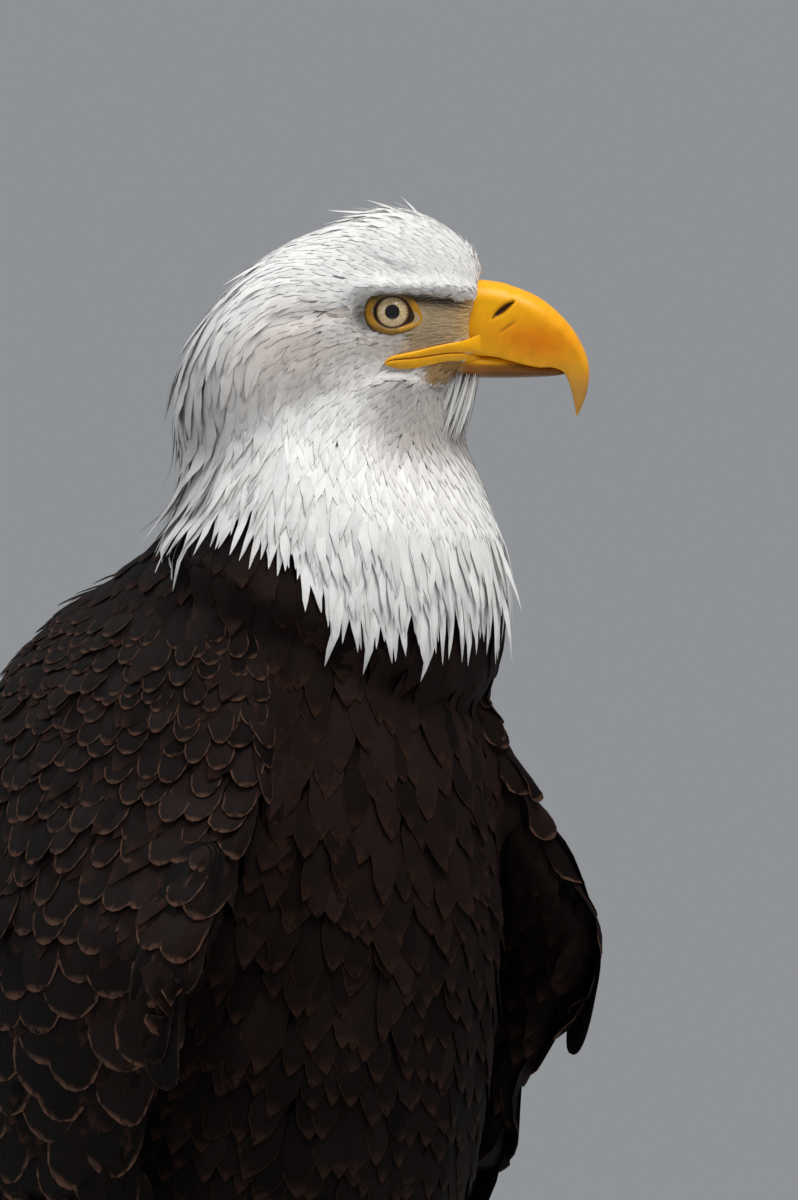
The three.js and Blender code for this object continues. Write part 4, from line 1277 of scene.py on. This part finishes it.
# ---- eyes ----
# Each eyeball has a clear bulging front over a pale straw-coloured iris with fine spokes, a
# round black pupil and a dark rim. It looks straight out to its own side.
EYE_RADIUS = 11
IRIS_ANGLE = 0.70  # radians from the eye's axis to the iris's rim
PUPIL_ANGLE = 0.295
BULGE_ANGLE = 0.75  # where the clear front begins to stand out
EYE_SUNK = 0.4
STRAW = (0.50, 0.34, 0.15, 1), (0.86, 0.66, 0.38, 1)
IRIS_RIM = (0.16, 0.085, 0.03, 1)
PUPIL_BLACK = (0.004, 0.004, 0.005, 1)
EYE_DARK = (0.012, 0.007, 0.005, 1)  # dark all round the iris
eye_glass = new_material("wet_eye", 0.05, Specular_IOR_Level=0.55)
eye_uv = add(eye_glass, "ShaderNodeUVMap", uv_map="Gaze")[0]
turn, angle, _ = add(eye_glass, "ShaderNodeSeparateXYZ", eye_uv)[:3]
round_iris = sums(eye_glass, "MULTIPLY", turn, 34.0)
out_from_pupil = sums(eye_glass, "MULTIPLY", angle, 2.2)
spoke_at = add(eye_glass, "ShaderNodeCombineXYZ", round_iris, out_from_pupil)[0]
spokes = add(eye_glass, "ShaderNodeTexNoise", spoke_at, None, 2.0, 4.0, noise_dimensions="2D")[0]
iris = blended(eye_glass, ramped(eye_glass, spokes, 0.25, 0.75), *STRAW)
rim = ramped(eye_glass, angle, IRIS_ANGLE * 0.80, IRIS_ANGLE * 0.98)
iris = blended(eye_glass, rim, iris, IRIS_RIM)
past_pupil = ramped(eye_glass, angle, PUPIL_ANGLE - 0.015, PUPIL_ANGLE + 0.02)
iris = blended(eye_glass, sums(eye_glass, "SUBTRACT", 1.0, past_pupil), iris, PUPIL_BLACK)
outside = ramped(eye_glass, angle, IRIS_ANGLE, IRIS_ANGLE + 0.04)
to_shader(eye_glass, "Base Color", blended(eye_glass, outside, iris, EYE_DARK))


def turn_share(x, y):
    return math.atan2(y, x) / (2 * math.pi)


for side, sign in SIDES.items():
    ball = bmesh.new()
    bmesh.ops.create_uvsphere(ball, u_segments=64, v_segments=48, radius=1)
    gaze = ball.loops.layers.uv.new("Gaze")
    for face in ball.faces:
        around = [turn_share(v.co.x, v.co.y) for v in face.verts if abs(v.co.z) < 0.9999]
        for loop in face.loops:
            x, y, z = loop.vert.co
            share = turn_share(x, y) if abs(z) < 0.9999 else sum(around) / len(around)
            if max(around) - min(around) > 0.5 and share < 0:
                share += 1
            loop[gaze].uv = (share, math.acos(max(-1, min(1, z))))
    for vert in ball.verts:
        x, y, z = vert.co
        bulge = 0.05 * max(0.0, (z - math.cos(BULGE_ANGLE)) / (1 - math.cos(BULGE_ANGLE)))
        out = EYE_SIDE + EYE_RADIUS * (z + bulge) - EYE_SUNK
        vert.co = from_head([(sign * out, EYE_RADIUS * x, EYE_RADIUS * y)])[0]
    bmesh.ops.recalc_face_normals(ball, faces=ball.faces)
    eyeball = smooth_piece(f"eyeball_{side}", ball, eye_glass)
    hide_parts(f"eye_{side}")

# ---- eyelids ----
# A bare fleshy ring round each eye: a dark wet margin against the eyeball, and a wider yellow
# ring that runs out to a point at its lower front corner. Rings of a circle, drawn outwards.

# Each ring gives its half length, half height, how far out it stands from the eye's middle,
# and how strongly it is drawn to the front corner, in mm.
LID_RINGS = [
    (7.1, 6.3, 6.6, 0.0), (7.15, 6.35, 8.2, 0.1), (7.35, 6.5, 8.8, 0.6), (7.65, 6.7, 9.1, 1.0),
    (8.1, 6.95, 9.2, 1.4), (8.6, 7.3, 9.4, 2.0), (9.4, 7.8, 9.8, 2.4), (10.2, 8.3, 9.9, 2.4),
    (11.0, 8.8, 9.7, 2.4), (11.7, 9.3, 9.2, 2.4), (12.7, 10.4, 8.4, 1.8), (14.8, 12.0, 6.4, 1.4),
]
YELLOW_RINGS = (5, 10)  # the first ring of the yellow and the first beyond it
LID_MARGIN = np.array([0.030, 0.010, 0.005])
LID_YELLOW = np.array([0.60, 0.28, 0.012])
LID_OLIVE_AND_SHADE = np.array([0.11, 0.075, 0.015])
LID_GREY = np.array([0.090, 0.070, 0.062])
lid_skin = new_material("eyelid_skin", 0.42, Specular_IOR_Level=0.3)
wrinkles = grained(lid_skin, "Voronoi", 1500.0)
to_shader(lid_skin, "Base Color", blended(lid_skin, 0.3, own_color(lid_skin), wrinkles, "MULTIPLY"))
raised(lid_skin, wrinkles, 0.00012)


def next_ring(shape, ring):
    """Draws a ring of vertices on, and gives the new ring in the same order."""
    bunch = set(ring)
    edges = [e for e in shape.edges if e.verts[0] in bunch and e.verts[1] in bunch]
    grown = bmesh.ops.extrude_edge_only(shape, edges=edges)["geom"]
    fresh = [g for g in grown if isinstance(g, bmesh.types.BMVert)]
    return [min(fresh, key=lambda v, old=old: (v.co - old.co).length_squared) for old in ring]


def lid_place(row, a):
    """Side, fore and up in mm of one place on a ring of the left eye's lids."""
    long, high, out, corner = LID_RINGS[row]
    front = max(0.0, math.cos(a + 0.32)) ** 10
    back = max(0.0, math.cos(a - math.pi + 0.12)) ** 8
    fore = math.cos(a) * long + corner * front
    up = math.sin(a) * high - 0.45 * corner * front
    sunk = (1.2 * front + 0.8 * back) * (row >= YELLOW_RINGS[0])
    return EYE_SIDE + out - 0.10 * max(0, fore) - sunk, fore, up


def lid_tint(row, angles):
    """The colours of one ring: a painted shade of olive above, under the brow, olive behind below,
    and olive all round the yellow's edge.
    """
    if row < YELLOW_RINGS[0]:
        return np.tile(LID_MARGIN, (len(angles), 1))
    if row >= YELLOW_RINGS[1]:
        return np.tile(LID_GREY, (len(angles), 1))
    # Painted shade: the top of the yellow ring, under the brow.
    above = 0.95 * rise(np.sin(angles), 0.3, 0.75)
    below = 0.6 * rise(-np.sin(angles), 0.5, 0.9) * (np.cos(angles) < 0.3)
    olive = np.maximum(np.maximum(above, below), 0.6 * (row == YELLOW_RINGS[1] - 1))
    return toned(LID_YELLOW, LID_OLIVE_AND_SHADE, olive)


for side, sign in SIDES.items():
    lid = bmesh.new()
    ring = bmesh.ops.create_circle(lid, segments=72, radius=1)["verts"]
    angles = [math.atan2(v.co.y, v.co.x) for v in ring]
    for row in range(len(LID_RINGS)):
        if row:
            ring = next_ring(lid, ring)
        for vert, a in zip(ring, angles):
            out, fore, up = lid_place(row, a)
            vert.co = from_head([(sign * out, fore, up)])[0]
    bmesh.ops.recalc_face_normals(lid, faces=lid.faces)
    if sum((f.normal.dot(head_side) * sign) for f in lid.faces) < 0:
        bmesh.ops.reverse_faces(lid, faces=lid.faces)
    colors = np.concatenate([lid_tint(row, angles) for row in range(len(LID_RINGS))])
    smooth_piece(f"eyelids_{side}", lid, lid_skin, colors)

# ---- bill ----
# The upper half is a deep hooked shell of horn with a soft yellow root that carries the nostrils,
# orange sides and a browner tip. The lower half is a shallow trough that closes inside it. Each
# half is drawn out from a circle along its own stations.

# Each station gives a point on the ridge, one on the cutting edge, and the half width, in mm.
UPPER_BILL = np.array([
    (33, 15, 26, -18.5, 13.0), (45, 13.8, 36, -18.0, 13.6), (55, 11.2, 46, -18.9, 13.0),
    (65.5, 6.2, 54.5, -21.6, 11.8), (76, -3.2, 63, -23.4, 10.0), (82.8, -13.6, 70, -23.6, 8.0),
    (85.8, -23.5, 75.4, -26.4, 5.8), (84.9, -34, 78.4, -34.6, 3.3), (81.0, -44.2, 80.3, -44.4, 0.5),
])
BILL_RINGS = 150
BILL_SEGMENTS = 112
EDGE_IN = 0.78  # how far out the cutting edges stand, as a share of the half width
OUTSIDE = 1.28 * math.pi  # the part of the circle that makes the outside, the rest is the roof
SHOULDER = 0.72  # the height at which the sides are widest, as a share of the whole
ROOF = 0.14  # how far the mouth's roof is hollowed


def bill_outline(a, half, tall):
    """A section of the upper bill: domed ridge, full sides, sharp cutting edges, hollow roof."""
    if a >= OUTSIDE:
        t = (a - OUTSIDE) / (2 * math.pi - OUTSIDE)
        return EDGE_IN * (1 - 2 * t) * half, ROOF * tall * math.sin(math.pi * t)
    t = a / OUTSIDE * 2 - 1
    side = abs(t)
    if side > 0.5:
        fall = (side - 0.5) / 0.5
        x = math.copysign(1 - (1 - EDGE_IN) * fall**2.4, t)
        y = SHOULDER * (1 - fall)
    else:
        x = math.copysign(math.sin(side / 0.5 * math.pi / 2) ** 0.9, t)
        y = SHOULDER + (1 - SHOULDER) * math.cos(side / 0.5 * math.pi / 2)
    return x * half, y * tall


def drawn_out(segments, rings, placed):
    """A closed skin drawn out from a circle: placed(ring, angle) gives each vertex its place."""
    shape = bmesh.new()
    ring = bmesh.ops.create_circle(shape, segments=segments, radius=1)["verts"]
    angles = [i * 2 * math.pi / segments for i in range(segments)]
    for row in range(rings):
        if row:
            ring = next_ring(shape, ring)
        for vert, a in zip(ring, angles):
            vert.co = placed(row, a)
        if row in (0, rings - 1):
            bmesh.ops.contextual_create(shape, geom=list(ring))
    bmesh.ops.recalc_face_normals(shape, faces=shape.faces)
    return shape


def upper_bill_place(row, a):
    reach = 1 - (1 - row / (BILL_RINGS - 1)) ** 1.25
    top_fore, top_up, edge_fore, edge_up, half = smooth_rows(UPPER_BILL, np.array(reach))
    tall = math.hypot(top_fore - edge_fore, top_up - edge_up)
    x, y = bill_outline(a, half, tall)
    share = y / tall
    fore = edge_fore + (top_fore - edge_fore) * share
    return from_head([(x, fore, edge_up + (top_up - edge_up) * share)])[0]


NOSTRIL = ((44.0, -1.6), (52.6, 5.0))  # its two ends, fore and up
FURROW = ((46.2, -8.4), (53.5, -3.6))  # a shallow line under the nostril


def slit(points, ends, width):
    """How deep in a slit between two ends each point lies, from 0 to 1."""
    _, fore, up = in_head(points).T
    (f0, u0), (f1, u1) = ends
    way = np.array([f1 - f0, u1 - u0])
    t = np.clip(((fore - f0) * way[0] + (up - u0) * way[1]) / (way @ way), 0, 1)
    off = np.hypot(fore - f0 - t * way[0], up - u0 - t * way[1])
    return np.exp(-((off / (width * (0.35 + 0.65 * np.sin(math.pi * t)))) ** 4))


CERE = np.array([0.88, 0.41, 0.004])
BILL_YELLOW = np.array([0.90, 0.40, 0.006])
BILL_ORANGE = np.array([0.74, 0.205, 0.001])
BILL_TIP = np.array([0.42, 0.21, 0.05])
MANDIBLE_IN_SHADE = np.array([0.21, 0.075, 0.005])
NOSTRIL_SHADE = np.array([0.035, 0.006, 0.002])
FURROW_SHADE = np.array([0.35, 0.12, 0.004])


def bill_color(points):
    """The upper half's colours: yellow at the root and along the ridge, orange on the sides, and
    painted shade in the nostril and in the furrow under it.
    """
    _, fore, up = in_head(points).T
    color = toned(CERE, BILL_YELLOW, rise(fore, 50, 58))
    orange = hump(fore, 62, 19) * hump(up, -12 + 0.1 * (62 - fore), 8)
    color = toned(color, BILL_ORANGE, 0.95 * orange)
    color = toned(color, BILL_TIP, 0.8 * rise(-up, 18, 36) * rise(fore, 68, 76))
    # Painted shade in the nostril's slit.
    hole = slit(points, NOSTRIL, 1.4)
    color = toned(color, NOSTRIL_SHADE, np.clip(hole * 1.15, 0, 1))
    # Painted shade along the furrow under the nostril.
    return toned(color, FURROW_SHADE, 0.75 * slit(points, FURROW, 0.6))


horn = new_material("bill_horn", 0.34, Specular_IOR_Level=0.24)
mottle = grained(horn, "Noise", 240.0, 5.0)
scratch = grained(horn, "Noise", 1600.0, 3.0)
tint = sums(horn, "MULTIPLY_ADD", mottle, 0.34, 0.83)
to_shader(horn, "Base Color", blended(horn, 1.0, own_color(horn), tint, "MULTIPLY"))
to_shader(horn, "Roughness", sums(horn, "MULTIPLY_ADD", mottle, 0.25, 0.24))
raised(horn, sums(horn, "MULTIPLY_ADD", scratch, 0.3, mottle), 0.0002, 0.3)

NOSTRIL_DEPTH = 1.9
FURROW_DEPTH = 0.45
CERE_SWELL = 0.35  # how far the soft root stands out over the horn
upper = drawn_out(BILL_SEGMENTS, BILL_RINGS, upper_bill_place)
upper.normal_update()
places, normals = measured(upper)
fore = in_head(places)[:, 1]
cere = CERE_SWELL * rise(-fore, -53, -49) * rise(fore, 30, 40)
sunk = NOSTRIL_DEPTH * slit(places, NOSTRIL, 1.5) + FURROW_DEPTH * slit(places, FURROW, 0.65)
move_to(upper, places + normals * ((cere - sunk) * MM)[:, None])
upper_tree = BVHTree.FromBMesh(upper)
piece = smooth_piece("bill_upper_horn", upper, horn, bill_color(places))
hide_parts("bill_upper")

# Each station of the lower half gives fore, the top's level inside the upper half, the
# bottom's level and the half width, in mm.
LOWER_BILL = np.array([
    (22, -18.0, -26.4, 7.0), (29, -17.5, -27.5, 9.3), (36, -17.2, -27.8, 9.7), (48, -18.4, -27.9, 8.6),
    (58, -21.0, -27.7, 6.8), (66, -22.6, -27.4, 4.8), (72, -23.2, -26.9, 2.8), (75.3, -24.2, -26.2, 0.8),
])
LOWER_RINGS = 60
LOWER_SEGMENTS = 48


def lower_bill_place(row, a):
    fore, top, bottom, half = smooth_rows(LOWER_BILL, np.array(row / (LOWER_RINGS - 1)))
    x, y = math.cos(a), math.sin(a)
    centre = bottom + 0.62 * (top - bottom)
    if y > 0:
        up = centre + (top - centre) * y**0.7
        out = half * (1 - 0.16 * y) * math.copysign(abs(x) ** 0.8, x)
    else:
        up = centre + (bottom - centre) * abs(y) ** 0.8
        out = half * math.copysign(abs(x) ** 0.75, x)
    return from_head([(out, fore, up)])[0]


lower = drawn_out(LOWER_SEGMENTS, LOWER_RINGS, lower_bill_place)
lower_tree = BVHTree.FromBMesh(lower)
_, fore, up = in_head(measured(lower)[0]).T
# Painted shade: the lower half is brownish-gold in the upper half's shade.
color = toned(CHIN_SKIN, MANDIBLE_IN_SHADE, rise(fore, 26, 34))
# Painted shade darkens it further along its lower edge, and it is lighter towards its root.
light = (1 - 0.55 * rise(-up, 24.5, 27.5)) * (1 + 0.5 * rise(-fore, -50, -34))
band = rise(up, -23.0, -21.2) * rise(-fore, -60, -46)
color = toned(color * light[:, None], CERE * 0.92, band)
piece = smooth_piece("bill_lower_horn", lower, horn, color)
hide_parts("bill_lower")

# ---- rim of the mouth ----
# Two soft yellow lips on each side, from the corner of the mouth under the eye forward to the
# bill, which they run into. They lie flat on the face.

# Each station gives fore, the level where the lips meet, the upper lip's top and the lower lip's
# bottom, in mm.
LIPS = np.array([
    (-3.6, -22.3, -22.1, -22.5), (-1.2, -21.0, -19.6, -23.4), (2.8, -20.3, -18.2, -24.4),
    (9.5, -19.7, -16.8, -24.2), (17, -18.6, -14.9, -22.6), (24, -17.6, -13.4, -21.0),
    (31, -17.4, -12.0, -21.0), (37, -17.7, -9.6, -21.4), (41, -18.1, -8.0, -22.2),
    (45, -18.5, -7.0, -22.8),
])
LIP_RINGS = 60
LIP_SEGMENTS = 24
LIP_THICK = 1.6
LIP_GAP = 0.12  # half the gap between the lips
FACE_TO_BILL = (33.5, 38)  # where the lips pass from the face on to the bill
CLEAR_SIDE = 60  # outside of the head


def surface_side(sign, fore, up, tree):
    """How far out the face or the bill reaches at this fore and level, in mm."""
    start = Vector(from_head([(sign * CLEAR_SIDE, fore, up)])[0])
    spot = tree.ray_cast(start, head_side * -sign)[0]
    return abs(in_head([spot])[0][0]) if spot else 8.0


def evened(heights):
    """Each row's heights as the mean of the seven rings round it."""
    wide = np.pad(heights, ((3, 3), (0, 0)), mode="edge")
    return np.stack([np.convolve(line, np.ones(7) / 7, mode="valid") for line in wide.T], 1)


stations = smooth_rows(LIPS, np.linspace(0, 1, LIP_RINGS))
angles = np.arange(LIP_SEGMENTS) * 2 * math.pi / LIP_SEGMENTS
turn = np.sin(angles)
share = np.linspace(0, 1, LIP_RINGS)[:, None]
swell = LIP_THICK * np.minimum(1.0, 0.3 + 3 * share) * (1 - 0.85 * rise(share, 0.6, 0.85))
for side, sign in SIDES.items():
    for name, shell, lean in (("upper", upper_tree, -0.35), ("lower", lower_tree, 0.35)):
        fores, meet, top, bottom = stations.T[:, :, None]
        low, high = (meet + LIP_GAP, top) if name == "upper" else (bottom, meet - LIP_GAP)
        levels = (low + high) / 2 + (high - low) / 2 * np.sign(turn) * np.abs(turn) ** 0.75
        fores = np.broadcast_to(fores, levels.shape)
        seat = np.empty(levels.shape)
        for spot in np.ndindex(levels.shape):
            fore, up = fores[spot], levels[spot]
            on_face = surface_side(sign, min(fore, 34.5), up, coat_tree)
            on_bill = surface_side(sign, max(fore, FACE_TO_BILL[1]), up, shell)
            seat[spot] = mixed((on_face, on_bill), rise(fore, *FACE_TO_BILL))
        out = evened(seat) + swell * np.cos(angles) * (1 + lean * turn)
        out = out - LIP_THICK * rise(fores, 37, 41.5)
        spots = from_head(np.stack([sign * out, fores, levels], -1))

        def lip_place(row, a, spots=spots):
            return spots[row, round(a / (2 * math.pi) * LIP_SEGMENTS)]

        lip = drawn_out(LIP_SEGMENTS, LIP_RINGS, lip_place)
        _, fore, up = in_head(measured(lip)[0]).T
        # The lips are darker low down towards the corner of the mouth.
        darker_to_corner = 1 - 0.25 * hump(up, -23.5, 1.2) * rise(-fore, -24, 0)
        smooth_piece(f"lip_{name}_{side}", lip, horn, CERE * darker_to_corner[:, None])

# ---- legs and claws ----
# Bare yellow shanks and feet with broad scutes in front and small scales elsewhere, and black
# polished claws. They are grown over their solids and the scales pressed into them.
SCALE_YELLOW = np.array([0.70, 0.37, 0.035])
TOE_HIGH = (18, 26)  # the toes' scutes run out up to here, and the shank's begin
TOE_SCUTE = 4.2  # the length of each broad scute on the toes and on the shank
SHANK_SCUTE = 3.6
SCUTE_DEPTH = 0.55
LEG_CELL = 0.9 * MM
CLAW_CELL = 0.45 * MM
CLAW_BLACK = (0.006, 0.005, 0.005, 1), (0.022, 0.018, 0.015, 1)
leg_skin = new_material("scaled_leg", 0.42, Specular_IOR_Level=0.5)
cells = grained(leg_skin, "Voronoi", 420.0, feature="DISTANCE_TO_EDGE")
seams = ramped(leg_skin, cells, 0.02, 0.14)
tint = sums(leg_skin, "MULTIPLY_ADD", seams, 0.33, 0.67)
to_shader(leg_skin, "Base Color", blended(leg_skin, 1.0, own_color(leg_skin), tint, "MULTIPLY"))
raised(leg_skin, seams, 0.0006, 0.8)
claw_horn = new_material("claw_horn", 0.22, Coat_Weight=0.5, Coat_Roughness=0.15)
ridges = grained(claw_horn, "Noise", 900.0, 3.0)
to_shader(claw_horn, "Base Color", blended(claw_horn, ridges, *CLAW_BLACK))
raised(claw_horn, ridges, 0.0002, 0.4)
for side, sign in SIDES.items():
    leg = grown_over([f"shank_{side}", f"foot_{side}"], LEG_CELL, 5)
    leg.normal_update()
    places, normals = measured(leg)
    ankle = np.array([middle(f"foot_{side}").x, stand.y + 6 * MM])
    reach = np.hypot(*(places[:, :2] - ankle).T) / MM
    high = places[:, 2] / MM
    on_toe = 1 - rise(high, *TOE_HIGH)
    bands = np.abs(np.sin(reach * math.pi / TOE_SCUTE)) * on_toe * rise(normals[:, 2], 0.2, 0.6)
    rings = np.abs(np.sin(high * math.pi / SHANK_SCUTE)) * (1 - on_toe) * rise(-normals[:, 1], 0.0, 0.5)
    scute = (bands**0.4 - 0.6) * (bands > 0) + (rings**0.4 - 0.6) * (rings > 0)
    off_ground = rise(high, 1.0, 3.0)
    moved = places + normals * (SCUTE_DEPTH * scute * off_ground * MM)[:, None]
    moved[:, 2] = np.maximum(moved[:, 2], 0)
    move_to(leg, moved)
    shade = 1 - 0.35 * rise(-scute, -0.05, 0.5) * ((bands > 0) | (rings > 0))
    piece = smooth_piece(f"leg_{side}", leg, leg_skin, SCALE_YELLOW * shade[:, None])
    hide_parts(f"shank_{side}", f"foot_{side}")
    for toe in ("inner", "middle", "outer", "hind"):
        talon = grown_over([f"claw_{toe}_{side}"], CLAW_CELL, 12)
        piece = smooth_piece(f"talon_{toe}_{side}", talon, claw_horn)
        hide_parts(f"claw_{toe}_{side}")
